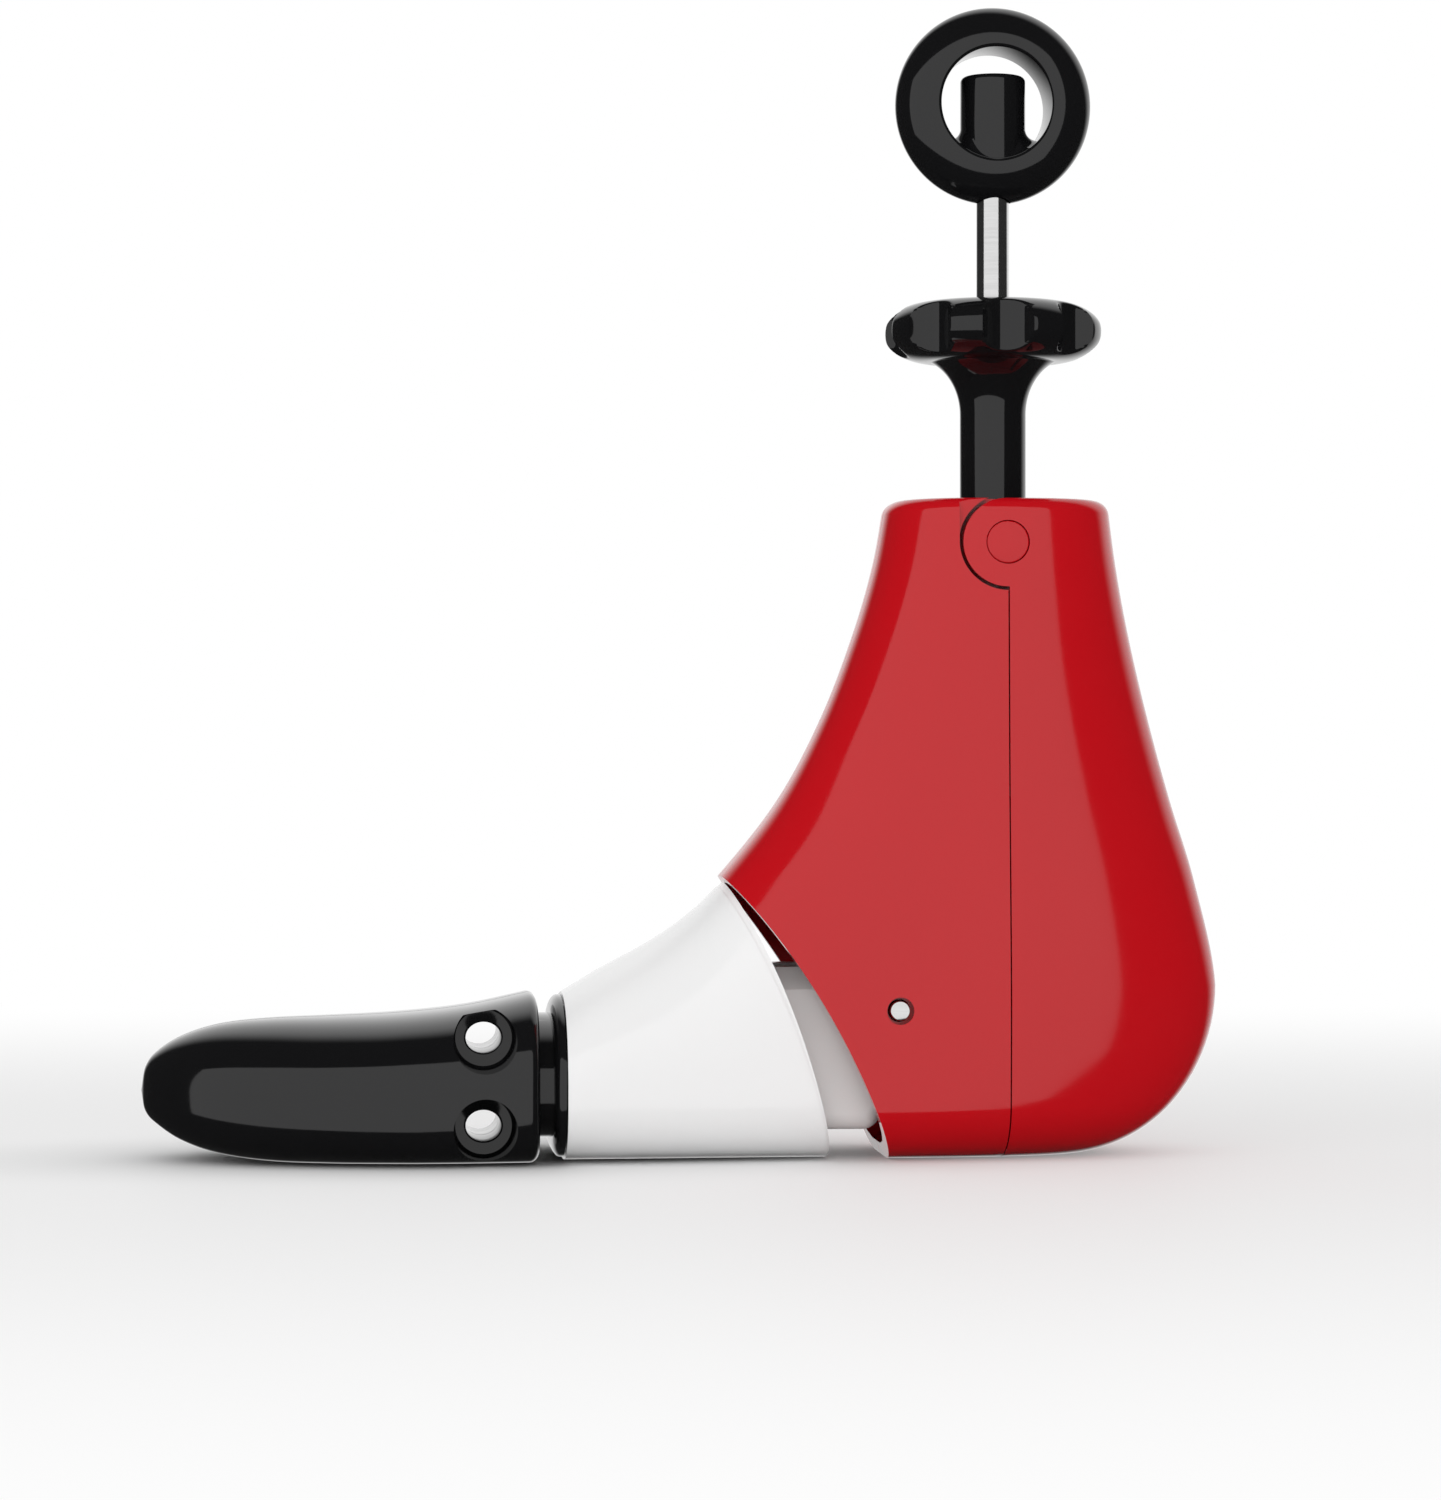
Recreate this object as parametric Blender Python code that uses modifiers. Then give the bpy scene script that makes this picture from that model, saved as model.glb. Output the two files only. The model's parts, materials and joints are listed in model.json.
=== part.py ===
"""Two-way stretcher for high-top shoes and boots.

The toe points to -X, the heel to +X and +Z is up. The origin lies on the floor, on the middle plane,
halfway between the toe tip and the heel. The side of the wearer's left hand is -Y.
"""

from math import asin, cos, radians, sin, sqrt, tau

import bmesh
import bpy
from mathutils import Matrix, Vector

MM = 0.001

# Fits
GAP = 0.3 * MM            # between two pieces that touch or run on each other
PART_LINE = 0.15 * MM     # each half of a split shell stays this far off the middle plane
THREAD_CLEAR = 0.35 * MM  # between a screw and its nut
EPS = 1.0 * MM            # how far a cutter runs past the face that it cuts
REACH = 400.0 * MM        # past every side of the object

# Ankle and heel block, outside form
BLOCK_TOP = 146.3 * MM
BLOCK_WALL = 3.0 * MM
BLOCK_POWER = 2.5         # superellipse power of the level sections
TOP_ROUND = 3.0 * MM
SOLE_ROUND_Z = 12.0 * MM  # height of the rounding along the sole's sides
SOLE_ROUND_Y = 17.0 * MM  # width of the same rounding
HEEL_ROUND_Z = 38.0 * MM  # height of the rounding at the back of the heel
HEEL_FLAT_X = 84.0 * MM   # where the flat of the sole ends
HEEL_X = 120.0 * MM
BLOCK_ROWS = [            # height, front edge, back edge, half width
    (0.0 * MM, -30.0 * MM, 120.0 * MM, 27.0 * MM),
    (38.0 * MM, -14.0 * MM, 120.0 * MM, 27.0 * MM),
    (62.0 * MM, 8.0 * MM, 115.0 * MM, 25.8 * MM),
    (79.0 * MM, 21.4 * MM, 109.8 * MM, 24.9 * MM),
    (97.0 * MM, 31.1 * MM, 104.9 * MM, 24.2 * MM),
    (116.0 * MM, 38.5 * MM, 100.4 * MM, 23.7 * MM),
    (132.0 * MM, 43.2 * MM, 97.4 * MM, 23.3 * MM),
    (146.3 * MM, 45.8 * MM, 95.5 * MM, 23.0 * MM),
]

# Seam, hinge and stem all lie on one upright line
STEM_X = 70.2 * MM
HINGE_Z = 136.4 * MM
KNUCKLE_R = 9.8 * MM
HINGE_PIN_R = 4.7 * MM
HINGE_PIN_IN = 2.0 * MM   # how deep the pin enters the tower
HINGE_PIN_SUNK = 0.3 * MM
HEEL_SWING = radians(8.0)

# Tower of the front block that carries the nut between the heel's two ears
TOWER_HALF_Y = 14.0 * MM
TOWER_BACK = 15.0 * MM    # behind the stem
TOWER_FRONT = 14.5 * MM   # ahead of the stem
TOWER_FOOT_Z = 108.0 * MM
TOWER_SWING_ROOM = 3.0 * MM

# Front opening of the ankle block
CUT_TOP = (8.9 * MM, 62.0 * MM)
CUT_FOOT = (44.8 * MM, 0.0 * MM)
CUT_BOW = 3.9 * MM

# Ankle pivot
ANKLE_X = 45.9 * MM
ANKLE_Z = 33.5 * MM
ANKLE_PIN_R = 2.2 * MM
ANKLE_HOLE_R = 3.0 * MM   # mouth of the hole round the pin's end
ANKLE_HOLE_DEEP = 3.0 * MM
ANKLE_PIN_SUNK = 0.5 * MM
ANKLE_BOSS_R = 5.0 * MM

# Star knob, hollow stem and nut
STEM_R = 7.4 * MM
STEM_BORE_R = 4.0 * MM
STEM_LEAD = 5.0 * MM
STEM_TRAVEL = 20.0 * MM
THREAD_DEPTH = 1.0 * MM
STEM_THREAD_TOP = 143.0 * MM
STEM_THREAD_FOOT = 104.0 * MM
NUT_HEX_R = 12.2 * MM
NUT_TOP = 143.0 * MM
NUT_FOOT = 112.5 * MM
NUT_ROOF_HOLE_R = 8.1 * MM
STAR_R = 24.6 * MM
STAR_RIM = 10.5 * MM      # the rim rounds off over this width, top and foot
STAR_LOBES = 8
STAR_TURN = radians(-90.0)  # bearing of one of the scoops between the lobes
SCOOP_R = 6.0 * MM
SCOOP_AWAY = 25.4 * MM    # middle of a scoop, from the stem's axis
STAR_EDGE = 1.4 * MM      # softness of the edges between rim and scoops
STAR_FOOT = 177.8 * MM
STAR_TOP = 191.9 * MM
STAR_DOME = 0.8 * MM
FLARE_WIDE = 10.5 * MM    # the stem's flare under the head grows by this much
FLARE_FOOT = 166.0 * MM
FLARE_TOP = STAR_FOOT + 1.0 * MM

# Spreader at the stem's foot
SPREADER_R = 11.0 * MM
SPREADER_HIGH = 8.0 * MM
SPREADER_Z = 87.0 * MM    # middle of its rim
NECK_R = 6.0 * MM
CLIP_HIGH = 2.4 * MM
CLIP_R = 8.2 * MM
RAMP_SLOT = 4.5 * MM      # the heel's two ramps stand this far off the middle plane
RAMP_HALF_Y = 8.0 * MM
RAMP_CLEAR = 0.5 * MM

# Ring, rod and its bearing
ROD_R = 3.7 * MM
ROD_FOOT = 44.0 * MM
RING_Z = 235.4 * MM
ROD_TOP = RING_Z + 0.6 * MM
RING_R = 22.1 * MM
RING_HOLE_R = 12.5 * MM
RING_DEEP = 15.2 * MM
RING_CORNER = 0.9 * MM    # rounding of the bore's two edges
BOSS_R = 7.3 * MM
BOSS_TOP = RING_Z + 7.0 * MM
BOSS_ROOT = 2.0 * MM      # how deep the boss stands in the ring
BOSS_ROUND = 1.3 * MM
BEARING_FOOT = 47.0 * MM
BEARING_TOP = 53.5 * MM
BEARING_R = 6.2 * MM
BEARING_FLANGE_R = 8.4 * MM
BEARING_FLANGE = 1.6 * MM
SHELF_FRONT = 26.0 * MM    # the bearing's shelf starts this far ahead of the stem
SHELF_HALF_Y = 12.0 * MM   # half width of its part behind the seam
SHELF_RIM = 3.0 * MM
COLLAR_R = 6.6 * MM
COLLAR_HIGH = 3.6 * MM
COUPLER_R = 5.0 * MM
COUPLER_HIGH = 7.6 * MM

# Flexible drive shaft between the rod and the toe screw
FLEX_R = 2.2 * MM
FLEX_BEND_R = 22.0 * MM

# Forefoot
FORE_FRONT_X = -27.0 * MM
FORE_WAIST_Z = 16.0 * MM
FORE_WALL = 2.6 * MM
FORE_POWERS = (2.3, 2.9)  # superellipse powers of the upright sections, above and below the waist
FORE_ROWS = [             # place along X, height of the top, half width
    (-27.0 * MM, 36.6 * MM, 31.0 * MM),
    (-18.6 * MM, 41.7 * MM, 30.4 * MM),
    (-6.7 * MM, 48.2 * MM, 29.4 * MM),
    (2.0 * MM, 54.4 * MM, 28.6 * MM),
    (8.5 * MM, 60.7 * MM, 28.0 * MM),
    (20.0 * MM, 74.0 * MM, 27.0 * MM),
    (33.0 * MM, 90.0 * MM, 26.0 * MM),
]
RIM_TOP = (9.3 * MM, 60.7 * MM)
RIM_FOOT = (31.6 * MM, 0.0 * MM)
RIM_BOW = 2.9 * MM

# Ankle tongue
TONGUE_HALF_Y = 17.0 * MM
TONGUE_FOOT = 6.7 * MM
TONGUE_FRONT_X = 0.0 * MM
TONGUE_BACK_X = 43.0 * MM
TONGUE_ROUND = 4.0 * MM
TONGUE_EYE_R = 9.1 * MM
TONGUE_EDGE = 3.5 * MM    # rounding of the long edges
TONGUE_SLOT_HALF = 7.0 * MM
TONGUE_SLOT_FRONT = 16.0 * MM
TONGUE_SLOT_FOOT = 10.0 * MM
TONGUE_COLLAR_DEEP = 4.0 * MM
WINDOW_INNER_Y = 18.2 * MM  # each side of the collar is open from here outwards
WINDOW_FOOT = 10.0 * MM
WINDOW_TOP = 31.0 * MM

# Toe
TOE_BACK_X = -33.0 * MM
TOE_TIP_X = -120.0 * MM
TOE_TIP_Z = 15.4 * MM
TOE_WALL = 3.0 * MM
TOE_BACK_ROUND = 2.0 * MM
TOE_HOLLOW_FRONT = -113.0 * MM
TOE_HOLLOW_BACK = -52.5 * MM
TOE_WAIST_SHARE = 0.44
TOE_POWERS = (2.9, 4.5)
TOE_BLUNT = 60.0 * MM     # the toe's own powers start this far behind its tip
TOE_PART = 0.3 * MM       # each toe half stays this far off the middle plane
TOE_ROWS = [              # place along X, top, bottom, half width
    (-120.0 * MM, 15.4 * MM, 15.4 * MM, 0.0 * MM),
    (-119.2 * MM, 20.3 * MM, 11.2 * MM, 5.4 * MM),
    (-116.6 * MM, 23.9 * MM, 8.2 * MM, 10.4 * MM),
    (-111.0 * MM, 27.4 * MM, 4.6 * MM, 16.3 * MM),
    (-103.0 * MM, 29.9 * MM, 1.9 * MM, 21.6 * MM),
    (-92.0 * MM, 31.1 * MM, 0.4 * MM, 26.4 * MM),
    (-78.0 * MM, 31.6 * MM, 0.0 * MM, 30.3 * MM),
    (-62.9 * MM, 32.3 * MM, 0.0 * MM, 32.8 * MM),
    (-48.0 * MM, 33.9 * MM, 0.0 * MM, 33.2 * MM),
    (-33.0 * MM, 37.1 * MM, 0.0 * MM, 31.4 * MM),
]

# Plug holes through the toe
PLUG_X = -44.9 * MM
PLUG_ZS = (8.3 * MM, 27.6 * MM)
PLUG_R = 3.9 * MM
PLUG_SEAT_R = 6.7 * MM     # wide round seat from here outwards
PLUG_SEAT_Y = 17.0 * MM

# Bulkhead with the neck that the toe halves swing on
DOME_HIGH = 2.6 * MM
DOME_LIP = 0.6 * MM
NECK_TOP = 32.0 * MM
NECK_FOOT = 5.0 * MM
NECK_HALF_Y = 27.2 * MM
NECK_FRONT_X = -34.0 * MM
LUG_HALF_Y = 13.0 * MM
LUG_FRONT_X = -38.4 * MM
POCKET_FRONT_X = -36.9 * MM
LUG_ROOM = 1.2 * MM        # round the lug, in the toe halves
POCKET_CLEAR = 0.9 * MM
SKIRT_DEEP = 5.0 * MM
SKIRT_WALL = 2.0 * MM
TOE_PIVOT_X = -35.2 * MM
TOE_PIVOT_Y = 9.0 * MM
TOE_PIN_R = 1.2 * MM
TOE_PIN_FOOT = 0.8 * MM
TOE_PIN_TOP = 35.0 * MM

# Toe screw and wedge
SCREW_Z = 16.6 * MM
SCREW_CORE_R = 2.2 * MM
SCREW_LEAD = 4.0 * MM
SCREW_THREAD_DEPTH = 0.7 * MM
SCREW_FRONT_X = -89.0 * MM
SCREW_BACK_X = 30.0 * MM
SCREW_THREAD_FRONT = -87.0 * MM
SCREW_THREAD_BACK = -50.0 * MM
SCREW_FLANGE_R = 6.0 * MM
SCREW_FLANGE = 2.0 * MM
SCREW_CLIP_R = 3.6 * MM
SCREW_CHANNEL_R = 3.3 * MM
SCREW_COUPLER_R = 4.2 * MM
SCREW_COUPLER_LONG = 8.0 * MM
WEDGE_BACK_X = -54.0 * MM
WEDGE_FRONT_X = -73.0 * MM
WEDGE_SLOPE = 0.36        # side growth per length
WEDGE_HIGH = 14.0 * MM
RIDGE_X = -66.0 * MM      # rib of each toe half that the wedge pushes on
RIDGE_Y = 8.1 * MM
RIDGE_HALF_X = 5.0 * MM

# Springs
SPRING_WIRE_R = 0.45 * MM
HEEL_SPRING_R = 2.6 * MM
HEEL_SPRING_Z = 11.5 * MM
HEEL_SPRING_FRONT = 61.5 * MM
HEEL_SPRING_BACK = 88.0 * MM
HEEL_SPRING_TURNS = 9
SPRING_PIN_R = 1.6 * MM
SPRING_PIN_HALF = 9.0 * MM
SPRING_LUG_Y = 5.0 * MM
SPRING_LUG_THICK = 6.0 * MM
TOE_SPRING_R = 1.5 * MM
TOE_SPRING_X = -57.5 * MM
TOE_SPRING_Z = 27.0 * MM
TOE_SPRING_HALF = 8.0 * MM
TOE_SPRING_TURNS = 8

# Shell screws, from the right side
SHELL_SCREWS = [          # name, X, Z
    ("shell_screw_top", 52.5 * MM, 119.0 * MM),
    ("shell_screw_front", 36.0 * MM, 76.0 * MM),
    ("shell_screw_low", 53.0 * MM, 60.0 * MM),
]
BOSS_PILLAR_R = 4.6 * MM
SHELL_SCREW_R = 1.5 * MM
SHELL_SCREW_HEAD_R = 2.8 * MM
SHELL_SCREW_HEAD = 2.0 * MM
SHELL_SCREW_SEAT_Y = 9.0 * MM
SHELL_SCREW_TIP_Y = -8.0 * MM

# Colours and finishes
RED = ((0.62, 0.010, 0.020, 1.0), 0.12, 0.0)
WHITE = ((0.86, 0.86, 0.85, 1.0), 0.18, 0.0)
PALE = ((0.86, 0.86, 0.85, 1.0), 0.25, 0.0)
BLACK = ((0.012, 0.012, 0.013, 1.0), 0.10, 0.0)
STEEL = ((0.70, 0.70, 0.70, 1.0), 0.15, 1.0)
BRASS = ((0.60, 0.44, 0.18, 1.0), 0.30, 1.0)

PARTS = None
CUTTERS = None


# Scene and collections

def clear_scene():
    for obj in list(bpy.data.objects):
        bpy.data.objects.remove(obj, do_unlink=True)


def new_collection(name):
    collection = bpy.data.collections.new(name)
    bpy.context.scene.collection.children.link(collection)
    return collection


def finish_material(name, finish):
    colour, roughness, metallic = finish
    material = bpy.data.materials.new(name)
    material.use_nodes = True
    shader = material.node_tree.nodes["Principled BSDF"]
    shader.inputs["Base Color"].default_value = colour
    shader.inputs["Roughness"].default_value = roughness
    shader.inputs["Metallic"].default_value = metallic
    material.diffuse_color = colour
    return material


def piece(name, bm, finish):
    """A named piece of the stretcher, made from a finished bmesh."""
    obj = mesh_object(name, bm, PARTS)
    obj.data.materials.append(finish_material(name, finish))
    return obj


def cutter(name, bm):
    """A body that only shapes other pieces."""
    obj = mesh_object(name, bm, CUTTERS)
    obj.hide_render = True
    obj.display_type = "WIRE"
    return obj


def mesh_object(name, bm, collection):
    bmesh.ops.recalc_face_normals(bm, faces=bm.faces)
    mesh = bpy.data.meshes.new(name)
    bm.to_mesh(mesh)
    bm.free()
    mesh.shade_smooth()
    mesh.set_sharp_from_angle(angle=radians(35.0))
    obj = bpy.data.objects.new(name, mesh)
    collection.objects.link(obj)
    return obj


def boolean(obj, other, operation):
    modifier = obj.modifiers.new(operation.lower() + "_" + other.name, "BOOLEAN")
    modifier.operation = operation
    modifier.solver = "EXACT"
    modifier.object = other


def cut(obj, *others):
    for other in others:
        boolean(obj, other, "DIFFERENCE")


def join(obj, *others):
    for other in others:
        boolean(obj, other, "UNION")


def keep(obj, other):
    boolean(obj, other, "INTERSECT")


def pivot(name, location):
    """An empty on a joint's axis, which the moving pieces hang on."""
    empty = bpy.data.objects.new(name, None)
    empty.empty_display_size = 10.0 * MM
    empty.location = location
    PARTS.objects.link(empty)
    return empty


def hang(empty, *objects):
    for obj in objects:
        obj.parent = empty
        obj.matrix_parent_inverse = Matrix.Translation(-Vector(empty.location))


# Curves and outlines

def smooth_row(rows, at):
    """Reads a table of rows at the first column's value, along a smooth curve through the rows."""
    at = min(max(at, rows[0][0]), rows[-1][0])
    index = 0
    while index < len(rows) - 2 and at > rows[index + 1][0]:
        index += 1
    low, high = rows[index], rows[index + 1]
    before = rows[max(index - 1, 0)]
    after = rows[min(index + 2, len(rows) - 1)]
    span = high[0] - low[0]
    t = (at - low[0]) / span
    values = []
    for column in range(1, len(low)):
        slope_low = (high[column] - before[column]) / (high[0] - before[0]) * span
        slope_high = (after[column] - low[column]) / (after[0] - low[0]) * span
        value = (2 * t ** 3 - 3 * t ** 2 + 1) * low[column] + (t ** 3 - 2 * t ** 2 + t) * slope_low
        value += (-2 * t ** 3 + 3 * t ** 2) * high[column] + (t ** 3 - t ** 2) * slope_high
        values.append(value)
    return values


def bowed_line(start, end, bow, count, over=0.0):
    """Points along a line that bows to its left side, running past both ends by a share of its length."""
    along = Vector((end[0] - start[0], end[1] - start[1]))
    left = Vector((-along.y, along.x)).normalized()
    points = []
    for i in range(count + 1):
        t = -over + (1.0 + 2.0 * over) * i / count
        offset = 4.0 * bow * t * (1.0 - t)
        points.append((start[0] + along.x * t + left.x * offset, start[1] + along.y * t + left.y * offset))
    return points


def arc_points(centre, radius, start, end, count):
    """Points on an arc in a plane; the angles are in radians."""
    points = []
    for i in range(count + 1):
        angle = start + (end - start) * i / count
        points.append((centre[0] + radius * cos(angle), centre[1] + radius * sin(angle)))
    return points


def powered(value, power):
    return (abs(value) ** (2.0 / power)) * (1.0 if value >= 0.0 else -1.0)


def level_ring(front, back, half_width, z, power, count):
    """A superellipse in a level plane, from the front edge to the back edge."""
    middle = (front + back) / 2
    half_length = (back - front) / 2
    ring = []
    for i in range(count):
        angle = tau * i / count
        ring.append((middle + half_length * powered(cos(angle), power),
                     half_width * powered(sin(angle), power), z))
    return ring


def upright_ring(x, top, bottom, half_width, waist, count, powers):
    """A rounded section in an upright plane across X, widest at the waist."""
    ring = []
    for i in range(count):
        angle = tau * i / count
        up = sin(angle) >= 0.0
        power = powers[0] if up else powers[1]
        height = (top - waist) if up else (waist - bottom)
        ring.append((x, half_width * powered(cos(angle), power), waist + height * powered(sin(angle), power)))
    return ring


# Solids

def loft(rings, tip=False):
    """A closed skin over rings of equal counts; with a tip, the first ring is one point."""
    bm = bmesh.new()
    rows = []
    for index, ring in enumerate(rings):
        if tip and index == 0:
            rows.append([bm.verts.new(ring[0])])
        else:
            rows.append([bm.verts.new(point) for point in ring])
    for low, high in zip(rows, rows[1:]):
        count = len(high)
        for i in range(count):
            j = (i + 1) % count
            if len(low) == 1:
                bm.faces.new((low[0], high[j], high[i]))
            else:
                bm.faces.new((low[i], low[j], high[j], high[i]))
    if not tip:
        bm.faces.new(list(reversed(rows[0])))
    bm.faces.new(rows[-1])
    return bm


def box(low, high):
    bm = bmesh.new()
    size = [high[i] - low[i] for i in range(3)]
    middle = [(high[i] + low[i]) / 2 for i in range(3)]
    matrix = Matrix.Translation(middle) @ Matrix.Diagonal((size[0], size[1], size[2], 1.0))
    bmesh.ops.create_cube(bm, size=1.0, matrix=matrix)
    return bm


def rod_between(start, end, radius, segments=16, end_radius=None):
    """A cylinder or cone between two points."""
    start = Vector(start)
    end = Vector(end)
    axis = end - start
    turn = Vector((0.0, 0.0, 1.0)).rotation_difference(axis).to_matrix().to_4x4()
    matrix = Matrix.Translation((start + end) / 2) @ turn
    bm = bmesh.new()
    bmesh.ops.create_cone(bm, cap_ends=True, segments=segments, radius1=radius,
                          radius2=radius if end_radius is None else end_radius,
                          depth=axis.length, matrix=matrix)
    return bm


def slab(outline, y_low, y_high):
    """An outline in the XZ plane, extruded along Y."""
    return loft([[(x, y_low, z) for x, z in outline], [(x, y_high, z) for x, z in outline]])


def plan_slab(outline, z_low, z_high):
    """An outline in the XY plane, extruded along Z."""
    return loft([[(x, y, z_low) for x, y in outline], [(x, y, z_high) for x, y in outline]])


def turned(name, profile, location, finish, steps=24, closed=False, collection=None, axis="Z"):
    """A profile of radius and height, top to bottom on its outer side, turned about its axis."""
    mesh = bpy.data.meshes.new(name)
    points = [(radius, 0.0, height) for radius, height in profile]
    edges = [(i, i + 1) for i in range(len(points) - 1)]
    if closed:
        edges.append((len(points) - 1, 0))
    mesh.from_pydata(points, edges, [])
    obj = bpy.data.objects.new(name, mesh)
    (collection or PARTS).objects.link(obj)
    obj.location = location
    if axis == "X":
        obj.rotation_euler = (0.0, radians(90.0), 0.0)
    if axis == "Y":
        obj.rotation_euler = (radians(-90.0), 0.0, 0.0)
    screw = obj.modifiers.new("turn", "SCREW")
    screw.steps = steps
    screw.render_steps = steps
    screw.use_merge_vertices = True
    screw.merge_threshold = 0.00001
    screw.use_smooth_shade = True
    if finish:
        obj.data.materials.append(finish_material(name, finish))
    if obj.name in CUTTERS.objects:
        obj.hide_render = True
        obj.display_type = "WIRE"
    return obj


def thread_swell(height, angle, lead, low, high, hand):
    """How far a round thread stands out, from 0 to 1, fading out at both ends."""
    fade = min(1.0, max(0.0, (height - low) / (lead / 2)), max(0.0, (high - height) / (lead / 2)))
    return fade * (0.5 + 0.5 * cos(tau * height / lead - hand * angle))


def thread_rings(radius, depth, lead, low, high, columns, hand=1, rows_per_lead=6, fade_out=True):
    """Rings of a round threaded surface about Z, from low to high."""
    count = max(2, round((high - low) / lead * rows_per_lead))
    reach = 0.0 if fade_out else 2.0 * lead
    rings = []
    for row in range(count + 1):
        height = low + (high - low) * row / count
        ring = []
        for column in range(columns):
            angle = tau * column / columns
            swell = thread_swell(height, angle, lead, low - reach, high + reach, hand)
            r = radius + depth * swell
            ring.append((r * cos(angle), r * sin(angle), height))
        rings.append(ring)
    return rings


def circle_ring(radius, height, columns):
    return [(radius * cos(tau * i / columns), radius * sin(tau * i / columns), height) for i in range(columns)]


def moved(rings, matrix):
    return [[tuple(matrix @ Vector(point)) for point in ring] for ring in rings]


def tube(name, points, radius, finish, resolution=1):
    """A closed round wire along the points, with flat ends, as a welded mesh."""
    curve = bpy.data.curves.new(name + "_path", "CURVE")
    curve.dimensions = "3D"
    curve.bevel_depth = radius
    curve.bevel_resolution = resolution
    curve.use_fill_caps = True
    line = curve.splines.new("POLY")
    line.points.add(len(points) - 1)
    for point, place in zip(line.points, points):
        point.co = (place[0], place[1], place[2], 1.0)
    path = bpy.data.objects.new(name + "_path", curve)
    PARTS.objects.link(path)
    depsgraph = bpy.context.evaluated_depsgraph_get()
    mesh = bpy.data.meshes.new_from_object(path.evaluated_get(depsgraph))
    bm = bmesh.new()
    bm.from_mesh(mesh)
    bmesh.ops.remove_doubles(bm, verts=bm.verts, dist=0.00001)
    bpy.data.objects.remove(path, do_unlink=True)
    bpy.data.meshes.remove(mesh)
    return piece(name, bm, finish)


def coil_points(start, end, radius, turns, straight, per_turn=9):
    """Points of a spring between two places: a straight tail, the coil, a straight tail."""
    start = Vector(start)
    end = Vector(end)
    axis = (end - start).normalized()
    side = axis.orthogonal().normalized()
    other = axis.cross(side)
    length = (end - start).length - 2 * straight
    points = [start, start + axis * straight * 0.6]
    for i in range(turns * per_turn + 1):
        angle = tau * i / per_turn
        place = start + axis * (straight + length * i / (turns * per_turn))
        points.append(place + side * radius * cos(angle) + other * radius * sin(angle))
    points += [end - axis * straight * 0.6, end]
    return [tuple(point) for point in points]


# Ankle and heel block

def block_section(z):
    """Front edge, back edge and half width of the block's outside at a height."""
    front, back, half_width = smooth_row(BLOCK_ROWS, z)
    if z < HEEL_ROUND_Z:
        drop = (HEEL_ROUND_Z - z) / HEEL_ROUND_Z
        back = HEEL_FLAT_X + (HEEL_X - HEEL_FLAT_X) * sqrt(max(0.0, 1.0 - drop ** 2))
    if z < SOLE_ROUND_Z:
        drop = (SOLE_ROUND_Z - z) / SOLE_ROUND_Z
        half_width -= SOLE_ROUND_Y * (1.0 - sqrt(max(0.0, 1.0 - drop ** 2)))
    if z > BLOCK_TOP - TOP_ROUND:
        rise = (z - BLOCK_TOP + TOP_ROUND) / TOP_ROUND
        inset = TOP_ROUND * (1.0 - sqrt(max(0.0, 1.0 - rise ** 2)))
        front += inset
        back -= inset
        half_width -= inset
    return front, back, half_width


def block_form(inset, levels, count):
    """The block's closed form, or the form of its hollow when the inset is a wall."""
    rings = []
    for z in levels:
        sunk = z - inset * max(0.0, 1.0 - (z - inset) / (40.0 * MM))
        front, back, half_width = block_section(sunk)
        rings.append(level_ring(front + inset, back - inset, half_width - inset, z, BLOCK_POWER, count))
    return loft(rings)


def block_outside():
    low = [SOLE_ROUND_Z * (1.0 - cos(radians(90.0) * i / 5)) for i in range(6)]
    middle = [SOLE_ROUND_Z + (HEEL_ROUND_Z - SOLE_ROUND_Z) * i / 3 for i in range(1, 4)]
    steps = 9
    shoulder = BLOCK_TOP - TOP_ROUND
    high = [HEEL_ROUND_Z + (shoulder - HEEL_ROUND_Z) * i / steps for i in range(1, steps + 1)]
    rim = [shoulder + TOP_ROUND * sin(radians(90.0) * i / 3) for i in range(1, 4)]
    return block_form(0.0, low + middle + high + rim, 36)


def block_hollow():
    floor = BLOCK_WALL
    roof = BLOCK_TOP - BLOCK_WALL - TOP_ROUND / 2
    low = [floor + (HEEL_ROUND_Z - floor) * (i / 5) ** 1.6 for i in range(6)]
    high = [HEEL_ROUND_Z + (roof - HEEL_ROUND_Z) * i / 8 for i in range(1, 9)]
    return block_form(BLOCK_WALL, low + high, 32)


def front_region():
    """What belongs to the front block: ahead of the seam, round the knuckle, with its tower and shelf."""
    reach = REACH
    knuckle = KNUCKLE_R + GAP
    edge = bowed_line(CUT_TOP, CUT_FOOT, CUT_BOW, 14, over=0.15)
    outline = [(-reach, BLOCK_TOP + reach), (-reach, edge[0][1] + EPS)]
    outline += edge
    outline += [(edge[-1][0], -reach), (STEM_X, -reach)]
    outline += arc_points((STEM_X, HINGE_Z), knuckle, radians(270.0), radians(180.0), 8)
    outline += [(STEM_X - knuckle, BLOCK_TOP + reach)]
    region = cutter("front_region", slab(outline, -reach, reach))
    tower = cutter("tower_region", box(
        (STEM_X - knuckle - EPS, -TOWER_HALF_Y, TOWER_FOOT_Z - EPS),
        (STEM_X + TOWER_BACK, TOWER_HALF_Y, BLOCK_TOP + EPS)))
    join(region, tower, shelf_box("shelf_region", SHELF_HALF_Y, EPS))
    return region


def screw_pillar(name, x, z):
    return cutter("pillar_" + name, rod_between((x, -40.0 * MM, z), (x, 40.0 * MM, z), BOSS_PILLAR_R, 12))


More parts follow.
